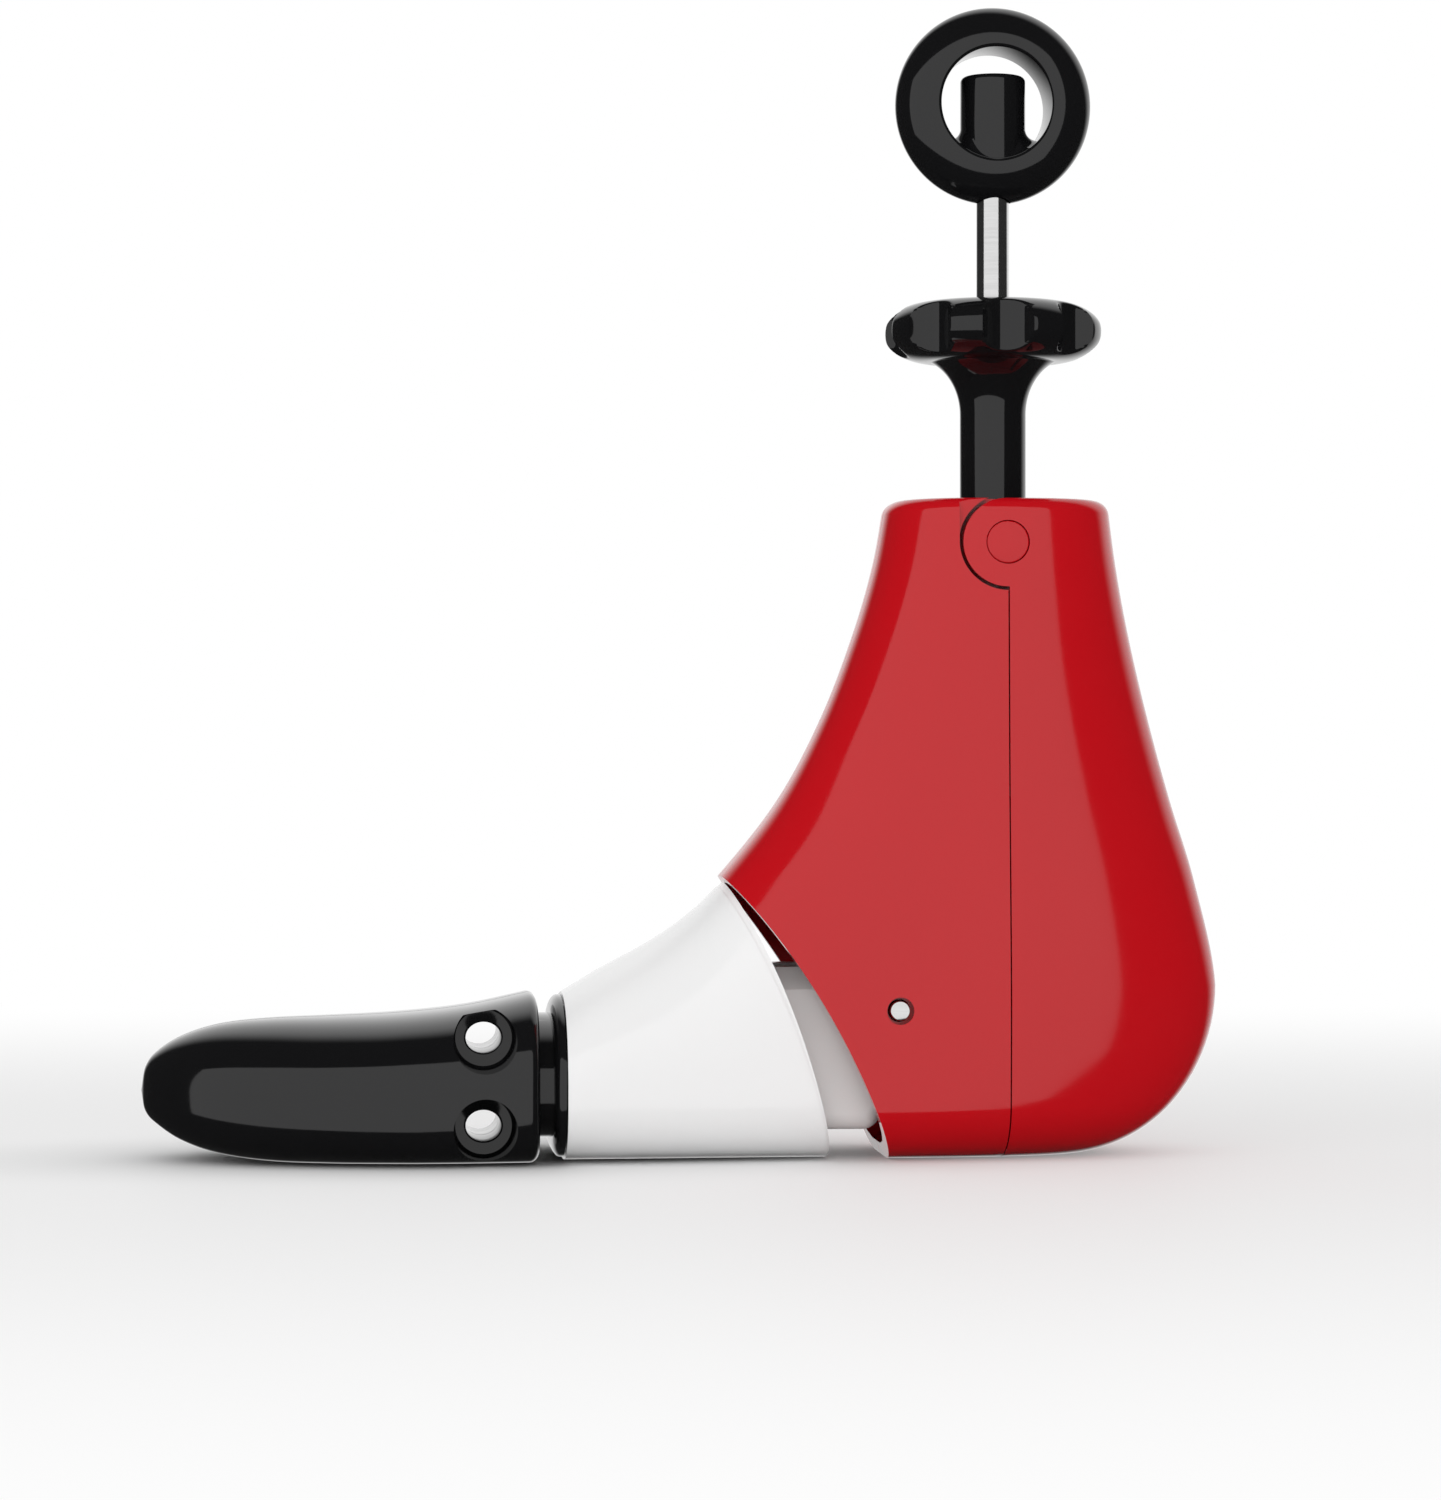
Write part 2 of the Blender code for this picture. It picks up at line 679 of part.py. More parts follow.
def shelf_box(name, half_width, grow=0.0):
    """The shelf that the rod's bearing is clamped in, clear of the bearing's two flanges."""
    low = BEARING_FOOT + BEARING_FLANGE + GAP - grow
    high = BEARING_TOP - BEARING_FLANGE - GAP + grow
    back = STEM_X + BEARING_FLANGE_R + SHELF_RIM + grow
    return cutter(name, box((STEM_X - SHELF_FRONT, -half_width, low), (back, half_width, high)))


def spring_pin_x():
    return HEEL_SPRING_FRONT - SPRING_PIN_R - GAP


def ankle_core():
    """The hollow of the front block, less the walls, pillars and lugs that stand in it."""
    core = cutter("ankle_core", block_hollow())
    knuckle = KNUCKLE_R + GAP + BLOCK_WALL
    seat = cutter("knuckle_seat", box(
        (STEM_X - knuckle, -REACH, HINGE_Z - knuckle),
        (STEM_X + EPS, REACH, BLOCK_TOP)))
    tower = cutter("tower_keep", box(
        (STEM_X - TOWER_FRONT, -TOWER_HALF_Y - EPS, TOWER_FOOT_Z),
        (STEM_X + TOWER_BACK + EPS, TOWER_HALF_Y + EPS, BLOCK_TOP)))
    cut(core, tower, seat)
    cut(core, shelf_box("shelf_keep", REACH))
    for name, x, z in SHELL_SCREWS:
        cut(core, screw_pillar(name, x, z))
    for side in (-1, 1):
        near, far = sorted((side * (TONGUE_HALF_Y + GAP), side * REACH))
        cut(core, cutter(f"ankle_boss_{side:+d}", rod_between(
            (ANKLE_X, near, ANKLE_Z), (ANKLE_X, far, ANKLE_Z), ANKLE_BOSS_R, 16)))
        near, far = sorted((side * SPRING_LUG_Y, side * (SPRING_LUG_Y + SPRING_LUG_THICK)))
        x = spring_pin_x()
        half = SPRING_PIN_R + 2.0 * MM
        cut(core, cutter(f"spring_lug_{side:+d}", box(
            (x - half, near, 0.0), (x + half, far, HEEL_SPRING_Z + half))))
    return core


def ankle_shell(name, side, core, region):
    """One half of the red front block."""
    shell = piece(name, block_outside(), RED)
    cut(shell, core)
    keep(shell, region)
    near, far = sorted((side * PART_LINE, side * REACH))
    keep(shell, cutter(f"half_region_{side:+d}", box((-REACH, near, -REACH), (REACH, far, REACH))))
    stem_axis = Vector((STEM_X, 0.0, 0.0))
    up = Vector((0.0, 0.0, 1.0))
    nut_room = cutter(f"nut_room_{side:+d}", hexagon(NUT_HEX_R + GAP, NUT_FOOT - GAP, NUT_TOP + GAP))
    roof_hole = cutter(f"roof_hole_{side:+d}", rod_between(
        stem_axis + up * NUT_TOP, stem_axis + up * (BLOCK_TOP + EPS), NUT_ROOF_HOLE_R, 24))
    stem_way = cutter(f"stem_way_{side:+d}", rod_between(
        stem_axis + up * (TOWER_FOOT_Z - EPS), stem_axis + up * NUT_FOOT,
        STEM_R + THREAD_DEPTH + 2 * GAP, 24))
    bearing_way = cutter(f"bearing_way_{side:+d}", rod_between(
        stem_axis + up * BEARING_FOOT, stem_axis + up * BEARING_TOP, BEARING_R + GAP, 24))
    cut(shell, nut_room, roof_hole, stem_way, bearing_way)
    near, far = side * 5.0 * MM, side * REACH
    counter = side * (ankle_side_y() - ANKLE_HOLE_DEEP)
    cut(shell, cutter(f"ankle_hole_{side:+d}", rod_between(
        (ANKLE_X, near, ANKLE_Z), (ANKLE_X, far, ANKLE_Z), ANKLE_PIN_R + GAP, 16)))
    cut(shell, cutter(f"ankle_mouth_{side:+d}", rod_between(
        (ANKLE_X, counter, ANKLE_Z), (ANKLE_X, far, ANKLE_Z), ANKLE_HOLE_R, 16)))
    hinge_foot = side * (TOWER_HALF_Y - HINGE_PIN_IN - GAP)
    cut(shell, cutter(f"tower_pin_hole_{side:+d}", rod_between(
        (STEM_X, hinge_foot, HINGE_Z), (STEM_X, side * (TOWER_HALF_Y + EPS), HINGE_Z),
        HINGE_PIN_R + GAP, 20)))
    cut(shell, cutter(f"spring_pin_hole_{side:+d}", rod_between(
        (spring_pin_x(), 0.0, HEEL_SPRING_Z), (spring_pin_x(), side * (SPRING_PIN_HALF + GAP), HEEL_SPRING_Z),
        SPRING_PIN_R + GAP, 12)))
    for screw_name, x, z in SHELL_SCREWS:
        if side < 0:
            start, end = SHELL_SCREW_TIP_Y - 2 * GAP, EPS
        else:
            start, end = -EPS, SHELL_SCREW_SEAT_Y + EPS
        cut(shell, cutter(f"{screw_name}_hole_{side:+d}", rod_between(
            (x, start, z), (x, end, z), SHELL_SCREW_R + GAP, 12)))
        if side > 0:
            cut(shell, cutter(f"{screw_name}_mouth", rod_between(
                (x, SHELL_SCREW_SEAT_Y, z), (x, far, z), SHELL_SCREW_HEAD_R + GAP, 12)))
    return shell


def ankle_side_y():
    """Half width of the block's surface at the ankle pin."""
    front, back, half_width = block_section(ANKLE_Z)
    share = abs(2.0 * (ANKLE_X - front) / (back - front) - 1.0)
    return half_width * (1.0 - share ** BLOCK_POWER) ** (1.0 / BLOCK_POWER)


def hexagon(radius, z_low, z_high):
    """A hexagonal bar on the stem's axis, with flats to both sides."""
    rings = []
    for z in (z_low, z_high):
        rings.append([(STEM_X + radius * cos(tau * i / 6), radius * sin(tau * i / 6), z) for i in range(6)])
    return loft(rings)


def ramp_points():
    """The heel's ramps: the spreader's rim at each step of its travel, seen from the swinging heel."""
    points = []
    touch = sqrt(SPREADER_R ** 2 - RAMP_SLOT ** 2)
    for step in range(9):
        share = step / 8
        angle = HEEL_SWING * share
        x = touch + RAMP_CLEAR
        z = SPREADER_Z - STEM_TRAVEL * share - HINGE_Z
        points.append((STEM_X + x * cos(angle) + z * sin(angle), HINGE_Z - x * sin(angle) + z * cos(angle)))
    return points


def heel_shell():
    """The red rear block with its two ears, its ramp and its spring lug."""
    shell = piece("heel_shell", block_outside(), RED)
    core = cutter("heel_core", block_hollow())
    reach = REACH
    knuckle = KNUCKLE_R + EPS
    for side in (-1, 1):
        near, far = sorted((side * (TOWER_HALF_Y + GAP), side * reach))
        cut(core, cutter(f"ear_keep_{side:+d}", box(
            (STEM_X - knuckle, near, HINGE_Z - knuckle),
            (STEM_X + knuckle + BLOCK_WALL, far, BLOCK_TOP))))
    ramp = ramp_points()
    rib = [(ramp[0][0] + 1.0 * MM, ramp[0][1] + SPREADER_HIGH)]
    rib += ramp
    rib += [(ramp[-1][0], ramp[-1][1] - 3.0 * MM), (HEEL_X, ramp[-1][1] - 12.0 * MM),
            (HEEL_X, ramp[0][1] + 2.0 * SPREADER_HIGH)]
    for side in (-1, 1):
        near, far = sorted((side * RAMP_SLOT, side * RAMP_HALF_Y))
        cut(core, cutter(f"ramp_rib_{side:+d}", slab(rib, near, far)))
    lug_front = HEEL_SPRING_BACK + GAP
    cut(core, cutter("heel_spring_lug", box(
        (lug_front, -3.0 * MM, 0.0), (lug_front + 5.0 * MM, 3.0 * MM, HEEL_SPRING_Z + 3.5 * MM))))
    cut(shell, core)
    outline = [(STEM_X + GAP, -reach), (HEEL_X + reach, -reach), (HEEL_X + reach, BLOCK_TOP + reach),
               (STEM_X, BLOCK_TOP + reach)]
    outline += arc_points((STEM_X, HINGE_Z), KNUCKLE_R, radians(90.0), radians(271.8), 14)
    keep(shell, cutter("rear_region", slab(outline, -reach, reach)))
    cut(shell, cutter("tower_notch", box(
        (STEM_X - reach, -TOWER_HALF_Y - GAP, HINGE_Z - 2.0 * KNUCKLE_R),
        (STEM_X + TOWER_BACK + TOWER_SWING_ROOM, TOWER_HALF_Y + GAP, BLOCK_TOP + reach))))
    cut(shell, cutter("heel_pin_hole", rod_between(
        (STEM_X, -reach, HINGE_Z), (STEM_X, reach, HINGE_Z), HINGE_PIN_R + GAP, 24)))
    return shell


def block_pins():
    pins = []
    for side, word in ((-1, "left"), (1, "right")):
        outer = block_section(HINGE_Z)[2] - HINGE_PIN_SUNK
        inner = TOWER_HALF_Y - HINGE_PIN_IN
        pins.append(piece(f"hinge_pin_{word}", rod_between(
            (STEM_X, side * inner, HINGE_Z), (STEM_X, side * outer, HINGE_Z), HINGE_PIN_R, 24), RED))
    for side, word in ((-1, "left"), (1, "right")):
        outer = ankle_side_y() - ANKLE_PIN_SUNK
        inner = TONGUE_SLOT_HALF + 1.5 * MM
        pins.append(piece(f"ankle_pin_{word}", rod_between(
            (ANKLE_X, side * inner, ANKLE_Z), (ANKLE_X, side * outer, ANKLE_Z), ANKLE_PIN_R, 16), STEEL))
    pins.append(piece("spring_pin", rod_between(
        (spring_pin_x(), -SPRING_PIN_HALF, HEEL_SPRING_Z), (spring_pin_x(), SPRING_PIN_HALF, HEEL_SPRING_Z),
        SPRING_PIN_R, 12), STEEL))
    return pins


def shell_screws():
    screws = []
    for name, x, z in SHELL_SCREWS:
        screw = piece(name, rod_between(
            (x, SHELL_SCREW_TIP_Y, z), (x, SHELL_SCREW_SEAT_Y + SHELL_SCREW_HEAD, z), SHELL_SCREW_R, 10), STEEL)
        head = cutter(name + "_head", rod_between(
            (x, SHELL_SCREW_SEAT_Y + GAP, z), (x, SHELL_SCREW_SEAT_Y + GAP + SHELL_SCREW_HEAD, z),
            SHELL_SCREW_HEAD_R, 12))
        join(screw, head)
        screws.append(screw)
    return screws


# Star knob, nut and spreader

def softer_of(a, b, soft):
    """The lower of two values, rounded where they meet."""
    near = max(0.0, soft - abs(a - b)) / soft
    return min(a, b) - near ** 2 * soft / 4


def scoop_wall(angle):
    """How far out the upright wall of the nearest scoop stands at a bearing."""
    pitch = tau / STAR_LOBES
    turn = abs((angle - STAR_TURN + pitch / 2) % pitch - pitch / 2)
    edge = asin(SCOOP_R / SCOOP_AWAY)
    if turn < edge:
        return SCOOP_AWAY * cos(turn) - sqrt(SCOOP_R ** 2 - (SCOOP_AWAY * sin(turn)) ** 2)
    return SCOOP_AWAY * cos(edge) + 3.0 * SCOOP_AWAY * (turn - edge)


def star_ring(tilt, columns):
    """A level ring of the head, at a tilt of its round rim, with the scoops taken out."""
    middle = (STAR_TOP - STAR_DOME + STAR_FOOT) / 2
    half = (STAR_TOP - STAR_DOME - STAR_FOOT) / 2
    rim = STAR_R - STAR_RIM + STAR_RIM * cos(tilt)
    ring = []
    for i in range(columns):
        angle = STAR_TURN + tau * i / columns
        wall = softer_of(STAR_R, scoop_wall(angle), STAR_EDGE)
        radius = softer_of(rim, wall, STAR_EDGE / 2)
        ring.append((radius * cos(angle), radius * sin(angle), middle + half * sin(tilt)))
    return ring


def star_knob():
    """The lobed head on its flare and hollow stem, with the thread that runs in the nut."""
    columns = STAR_LOBES * 10
    rings = [star_ring(radians(-90.0 + 180.0 * step / 10), columns) for step in range(11)]
    share = 2.0 * ROD_R / (STAR_R - STAR_RIM)
    rings.append([(x * share, y * share, STAR_TOP) for x, y, _ in rings[-1]])
    place = Matrix.Translation((STEM_X, 0.0, 0.0))
    knob = piece("star_knob", loft(moved(rings, place)), BLACK)
    columns = 20
    neck_low = SPREADER_Z - SPREADER_HIGH / 2 - GAP - CLIP_HIGH - GAP - 1.0 * MM
    shoulder = SPREADER_Z + SPREADER_HIGH / 2 + GAP
    stem = [circle_ring(NECK_R, neck_low, columns), circle_ring(NECK_R, shoulder, columns),
            circle_ring(STEM_R, shoulder, columns)]
    stem += thread_rings(STEM_R, THREAD_DEPTH, STEM_LEAD, STEM_THREAD_FOOT, STEM_THREAD_TOP, columns)
    for step in range(8):
        tilt = radians(90.0) * step / 7
        stem.append(circle_ring(STEM_R + FLARE_WIDE * (1.0 - cos(tilt)),
                                FLARE_FOOT + (FLARE_TOP - FLARE_FOOT) * sin(tilt), columns))
    stem.append(circle_ring(STEM_R + FLARE_WIDE, FLARE_TOP + 2.0 * MM, columns))
    join(knob, cutter("stem", loft(moved(stem, place))))
    cut(knob, cutter("stem_bore", rod_between(
        (STEM_X, 0.0, neck_low - EPS), (STEM_X, 0.0, STAR_TOP + EPS), STEM_BORE_R, 16)))
    return knob


def stem_nut():
    """The hexagonal nut in the tower; its thread is the stem's, one clearance larger."""
    nut = piece("stem_nut", hexagon(NUT_HEX_R, NUT_FOOT, NUT_TOP), BRASS)
    rings = thread_rings(STEM_R + THREAD_CLEAR, THREAD_DEPTH, STEM_LEAD, NUT_FOOT - EPS, NUT_TOP + EPS, 20,
                         fade_out=False)
    cut(nut, cutter("nut_thread", loft(moved(rings, Matrix.Translation((STEM_X, 0.0, 0.0))))))
    return nut


def bush_profile(inner, outer, low, high):
    """A plain sleeve's profile: down its outer side and up its bore."""
    return [(outer, high), (outer, low), (inner, low), (inner, high)]


def spreader():
    """The round-rimmed collar that the stem presses against the heel's ramp."""
    rim = SPREADER_HIGH / 2
    profile = [(SPREADER_R - rim + rim * cos(angle), rim * sin(angle))
               for angle in [radians(90.0 - 180.0 * i / 8) for i in range(9)]]
    profile += [(NECK_R + GAP, -rim), (NECK_R + GAP, rim)]
    return turned("spreader", profile, (STEM_X, 0.0, SPREADER_Z), BRASS, steps=24, closed=True)


def spreader_clip():
    top = SPREADER_Z - SPREADER_HIGH / 2 - GAP
    profile = bush_profile(NECK_R + GAP, CLIP_R, top - CLIP_HIGH, top)
    return turned("spreader_clip", profile, (STEM_X, 0.0, 0.0), STEEL, steps=20, closed=True)


# Ring, rod and bearing

def drive_rod():
    rod = piece("drive_rod", rod_between(
        (STEM_X, 0.0, ROD_FOOT), (STEM_X, 0.0, ROD_TOP), ROD_R, 20), STEEL)
    return rod


def ring_handle():
    """The finger ring, flat in its bore and round outside, with the boss that the rod ends in."""
    edge = RING_HOLE_R + RING_CORNER
    half = RING_DEEP / 2
    profile = [(edge + (RING_R - edge) * cos(angle), half * sin(angle))
               for angle in [radians(90.0 - 180.0 * i / 8) for i in range(9)]]
    profile += [(RING_HOLE_R, RING_CORNER - half), (RING_HOLE_R, half - RING_CORNER)]
    ring = turned("ring_body", profile, (STEM_X, 0.0, RING_Z), None, steps=36, closed=True,
                  collection=CUTTERS, axis="Y")
    boss_profile = [(0.0, BOSS_TOP)]
    boss_profile += [(BOSS_R - BOSS_ROUND + BOSS_ROUND * sin(angle),
                      BOSS_TOP - BOSS_ROUND + BOSS_ROUND * cos(angle))
                     for angle in [radians(90.0 * i / 3) for i in range(4)]]
    foot = RING_Z - RING_HOLE_R - BOSS_ROOT
    boss_profile += [(BOSS_R, foot), (0.0, foot)]
    handle = turned("ring_handle", boss_profile, (STEM_X, 0.0, 0.0), BLACK, steps=20)
    join(handle, ring)
    cut(handle, cutter("ring_bore", rod_between(
        (STEM_X, 0.0, RING_Z - RING_R - EPS), (STEM_X, 0.0, ROD_TOP + GAP), ROD_R + GAP, 20)))
    return handle


def rod_bearing():
    profile = [(BEARING_FLANGE_R, BEARING_TOP), (BEARING_FLANGE_R, BEARING_TOP - BEARING_FLANGE),
               (BEARING_R, BEARING_TOP - BEARING_FLANGE), (BEARING_R, BEARING_FOOT + BEARING_FLANGE),
               (BEARING_FLANGE_R, BEARING_FOOT + BEARING_FLANGE), (BEARING_FLANGE_R, BEARING_FOOT),
               (ROD_R + GAP, BEARING_FOOT), (ROD_R + GAP, BEARING_TOP)]
    return turned("rod_bearing", profile, (STEM_X, 0.0, 0.0), BRASS, steps=24, closed=True)


def rod_collar():
    low = BEARING_TOP + GAP
    profile = bush_profile(ROD_R + GAP, COLLAR_R, low, low + COLLAR_HIGH)
    return turned("rod_collar", profile, (STEM_X, 0.0, 0.0), STEEL, steps=20, closed=True)


def coupler_low():
    return BEARING_FOOT - GAP - COUPLER_HIGH


def drive_coupler():
    """The sleeve that joins the rod's foot to the flexible shaft."""
    high = BEARING_FOOT - GAP
    low = coupler_low()
    profile = [(COUPLER_R, high), (COUPLER_R, low), (FLEX_R + GAP, low), (FLEX_R + GAP, ROD_FOOT - GAP),
               (ROD_R + GAP, ROD_FOOT - GAP), (ROD_R + GAP, high)]
    return turned("drive_coupler", profile, (STEM_X, 0.0, 0.0), STEEL, steps=20, closed=True)


def flex_shaft():
    """The flexible shaft, down from the rod and round to the toe screw."""
    bend_z = SCREW_Z + FLEX_BEND_R
    centre = (STEM_X - FLEX_BEND_R, bend_z)
    points = [(STEM_X, 0.0, ROD_FOOT - 2 * GAP - 1.5 * MM)]
    points += [(x, 0.0, z) for x, z in arc_points(centre, FLEX_BEND_R, 0.0, radians(-90.0), 10)]
    points += [(SCREW_BACK_X + 2 * GAP, 0.0, SCREW_Z)]
    return tube("flex_shaft", points, FLEX_R, STEEL, resolution=2)


# Forefoot

def fore_section(x, inset=0.0):
    top, half_width = smooth_row(FORE_ROWS, x)
    return top - inset, inset, half_width - inset


def fore_ring(x, inset, count=32):
    top, bottom, half_width = fore_section(x, inset)
    return upright_ring(x, top, bottom, half_width, FORE_WAIST_Z, count, FORE_POWERS)


def midfoot_shell():
    """The white shell between toe and ankle, open at both ends."""
    ends = (FORE_FRONT_X, FORE_ROWS[-1][0])
    steps = 9
    places = [ends[0] + (ends[1] - ends[0]) * i / steps for i in range(steps + 1)]
    shell = piece("midfoot_shell", loft([fore_ring(x, 0.0) for x in places]), WHITE)
    inner_places = [ends[0] - EPS] + places[1:-1] + [ends[1] + EPS]
    cut(shell, cutter("midfoot_hollow", loft([fore_ring(x, FORE_WALL, 28) for x in inner_places])))
    edge = bowed_line(RIM_TOP, RIM_FOOT, RIM_BOW, 12, over=0.2)
    outline = edge + [(edge[-1][0], -REACH), (REACH, -REACH), (REACH, REACH),
                      (edge[0][0], REACH)]
    cut(shell, cutter("rim_cut", slab(outline, -REACH, REACH)))
    return shell


def tongue_outline(inset):
    """Side view of the tongue: a bar that ends in an eye round the ankle pivot."""
    corner = arc_points((TONGUE_BACK_X - TONGUE_ROUND, TONGUE_FOOT + TONGUE_ROUND), TONGUE_ROUND - inset,
                        radians(-90.0), radians(-20.0), 4)
    eye = arc_points((ANKLE_X, ANKLE_Z), TONGUE_EYE_R - inset, radians(-35.0), radians(90.0), 7)
    front = TONGUE_FRONT_X + TONGUE_COLLAR_DEEP / 2
    return [(front, TONGUE_FOOT + inset)] + corner + eye + [(front, ANKLE_Z + TONGUE_EYE_R - inset)]


def tongue_form():
    """The tongue's bar with rounded long edges, built from side to side."""
    rings = []
    for step in range(4):
        angle = radians(90.0) * (1.0 - step / 3)
        inset = TONGUE_EDGE * (1.0 - cos(angle))
        y = TONGUE_HALF_Y - TONGUE_EDGE * (1.0 - sin(angle))
        rings.append([(x, -y, z) for x, z in tongue_outline(inset)])
    rings.sort(key=lambda ring: ring[0][1])
    rings += [[(x, -y, z) for x, y, z in ring] for ring in reversed(rings)]
    return loft(rings)


def ankle_tongue():
    """The pale bar that carries the forefoot on the ankle pins, with its collar inside the shell."""
    tongue = piece("ankle_tongue", tongue_form(), PALE)
    inset = FORE_WALL + GAP
    collar = loft([fore_ring(TONGUE_FRONT_X, inset, 28),
                   fore_ring(TONGUE_FRONT_X + TONGUE_COLLAR_DEEP, inset, 28)])
    join(tongue, cutter("tongue_collar", collar))
    cut(tongue, cutter("tongue_slot", box(
        (TONGUE_SLOT_FRONT, -TONGUE_SLOT_HALF, TONGUE_SLOT_FOOT),
        (ANKLE_X + REACH, TONGUE_SLOT_HALF, ANKLE_Z + REACH))))
    cut(tongue, cutter("tongue_pin_hole", rod_between(
        (ANKLE_X, -REACH, ANKLE_Z), (ANKLE_X, REACH, ANKLE_Z), ANKLE_PIN_R + GAP, 16)))
    cut(tongue, cutter("tongue_screw_hole", rod_between(
        (TONGUE_FRONT_X - EPS, 0.0, SCREW_Z), (TONGUE_SLOT_FRONT + EPS, 0.0, SCREW_Z),
        SCREW_CORE_R + GAP, 14)))
    for side in (-1, 1):
        near, far = sorted((side * WINDOW_INNER_Y, side * REACH))
        cut(tongue, cutter(f"collar_window_{side:+d}", box(
            (TONGUE_FRONT_X - EPS, near, WINDOW_FOOT),
            (TONGUE_FRONT_X + TONGUE_COLLAR_DEEP + EPS, far, WINDOW_TOP))))
    return tongue


def neck_ring(x, grow, count=28):
    return upright_ring(x, NECK_TOP + grow, NECK_FOOT - grow, NECK_HALF_Y + grow, FORE_WAIST_Z, count,
                        FORE_POWERS)


def front_bulkhead():
    """The black plate that closes the midfoot shell, with its skirt, its neck and its hinge lug."""
    inset = FORE_WALL + GAP
    face = FORE_FRONT_X - GAP
    count = 28
    rings = [fore_ring(FORE_FRONT_X + SKIRT_DEEP, inset, count)]
    rings.append([(face, y, z) for _, y, z in fore_ring(FORE_FRONT_X, inset, count)])
    rings.append([(face, y, z) for _, y, z in fore_ring(FORE_FRONT_X, DOME_LIP, count)])
    rings.append([(face - DOME_LIP, y, z) for _, y, z in fore_ring(FORE_FRONT_X, DOME_LIP, count)])
    rings.append(neck_ring(face - DOME_HIGH, 0.0, count))
    rings.append(neck_ring(NECK_FRONT_X, 0.0, count))
    plate = piece("front_bulkhead", loft(rings), BLACK)
    hollow = [fore_ring(FORE_FRONT_X + SKIRT_DEEP + EPS, inset + SKIRT_WALL, count),
              fore_ring(FORE_FRONT_X + 0.5 * MM, inset + SKIRT_WALL, count)]
    cut(plate, cutter("skirt_hollow", loft(hollow)))
    join(plate, cutter("hinge_lug", box(
        (LUG_FRONT_X, -LUG_HALF_Y, NECK_FOOT + 1.0 * MM),
        (NECK_FRONT_X + EPS, LUG_HALF_Y, NECK_TOP - 1.0 * MM))))
    for side in (-1, 1):
        cut(plate, cutter(f"lug_pin_hole_{side:+d}", rod_between(
            (TOE_PIVOT_X, side * TOE_PIVOT_Y, -EPS), (TOE_PIVOT_X, side * TOE_PIVOT_Y, REACH),
            TOE_PIN_R + GAP, 12)))
    cut(plate, cutter("bulkhead_screw_hole", rod_between(
        (LUG_FRONT_X - EPS, 0.0, SCREW_Z), (FORE_FRONT_X + SKIRT_DEEP, 0.0, SCREW_Z),
        SCREW_CORE_R + GAP, 14)))
    return plate


def toe_ring(x, inset, count):
    """A section of the toe: round at the tip, with nearly upright sides further back."""
    top, bottom, half_width = smooth_row(TOE_ROWS, x)
    waist = bottom + (top - bottom) * TOE_WAIST_SHARE
    share = min(1.0, (x - TOE_TIP_X) / TOE_BLUNT)
    powers = [low + (high - low) * share for low, high in zip(FORE_POWERS, TOE_POWERS)]
    return upright_ring(x, top - inset, bottom + inset, half_width - inset, waist, count, powers)


def toe_rings():
    """The toe's outside form, from the tip to the rounded back edge."""
    count = 28
    rings = [[(TOE_TIP_X, 0.0, TOE_TIP_Z)]]
    for step in range(1, 11):
        x = TOE_TIP_X + (TOE_BACK_X - TOE_TIP_X) * (step / 11) ** 2.2
        rings.append(toe_ring(x, 0.0, count))
    for step in range(4):
        angle = radians(90.0) * step / 3
        inset = TOE_BACK_ROUND * (1.0 - cos(angle))
        rings.append(toe_ring(TOE_BACK_X - TOE_BACK_ROUND * (1.0 - sin(angle)), inset, count))
    return rings


def toe_core(side):
    """The hollow ahead of the plug holes, less the ridge and the spring post that stand in it."""
    rings = []
    for step in range(7):
        share = step / 6
        x = TOE_HOLLOW_FRONT + (TOE_HOLLOW_BACK - TOE_HOLLOW_FRONT) * share
        rings.append(toe_ring(x, TOE_WALL, 24))
    core = cutter(f"toe_core_{side:+d}", loft(rings))
    far = side * REACH
    ridge = [(RIDGE_X - RIDGE_HALF_X, far), (RIDGE_X - RIDGE_HALF_X, side * (RIDGE_Y + RIDGE_HALF_X * 0.4)),
             (RIDGE_X, side * RIDGE_Y), (RIDGE_X + RIDGE_HALF_X, side * (RIDGE_Y + RIDGE_HALF_X * 0.9)),
             (RIDGE_X + RIDGE_HALF_X, far)]
    cut(core, cutter(f"toe_ridge_{side:+d}", plan_slab(ridge, -REACH, REACH)))
    near, far = sorted((side * (TOE_SPRING_HALF + GAP), side * (TOE_SPRING_HALF + 3.0 * MM)))
    cut(core, cutter(f"toe_spring_post_{side:+d}", box(
        (TOE_SPRING_X - 2.5 * MM, near, TOE_SPRING_Z - TOE_SPRING_R - 1.0 * MM),
        (TOE_SPRING_X + 2.5 * MM, far, REACH))))
    return core


def plug_hole(name, side, z):
    """A hole across the toe half with a deep round seat for a plug."""
    rings = [circle_ring(PLUG_R, -EPS, 20), circle_ring(PLUG_R, PLUG_SEAT_Y, 20),
             circle_ring(PLUG_SEAT_R, PLUG_SEAT_Y, 20), circle_ring(PLUG_SEAT_R, TOE_ROWS[-2][3] + EPS, 20)]
    place = Matrix.Translation((PLUG_X, 0.0, z)) @ Matrix.Rotation(radians(-90.0 * side), 4, "X")
    return cutter(name, loft(moved(rings, place)))


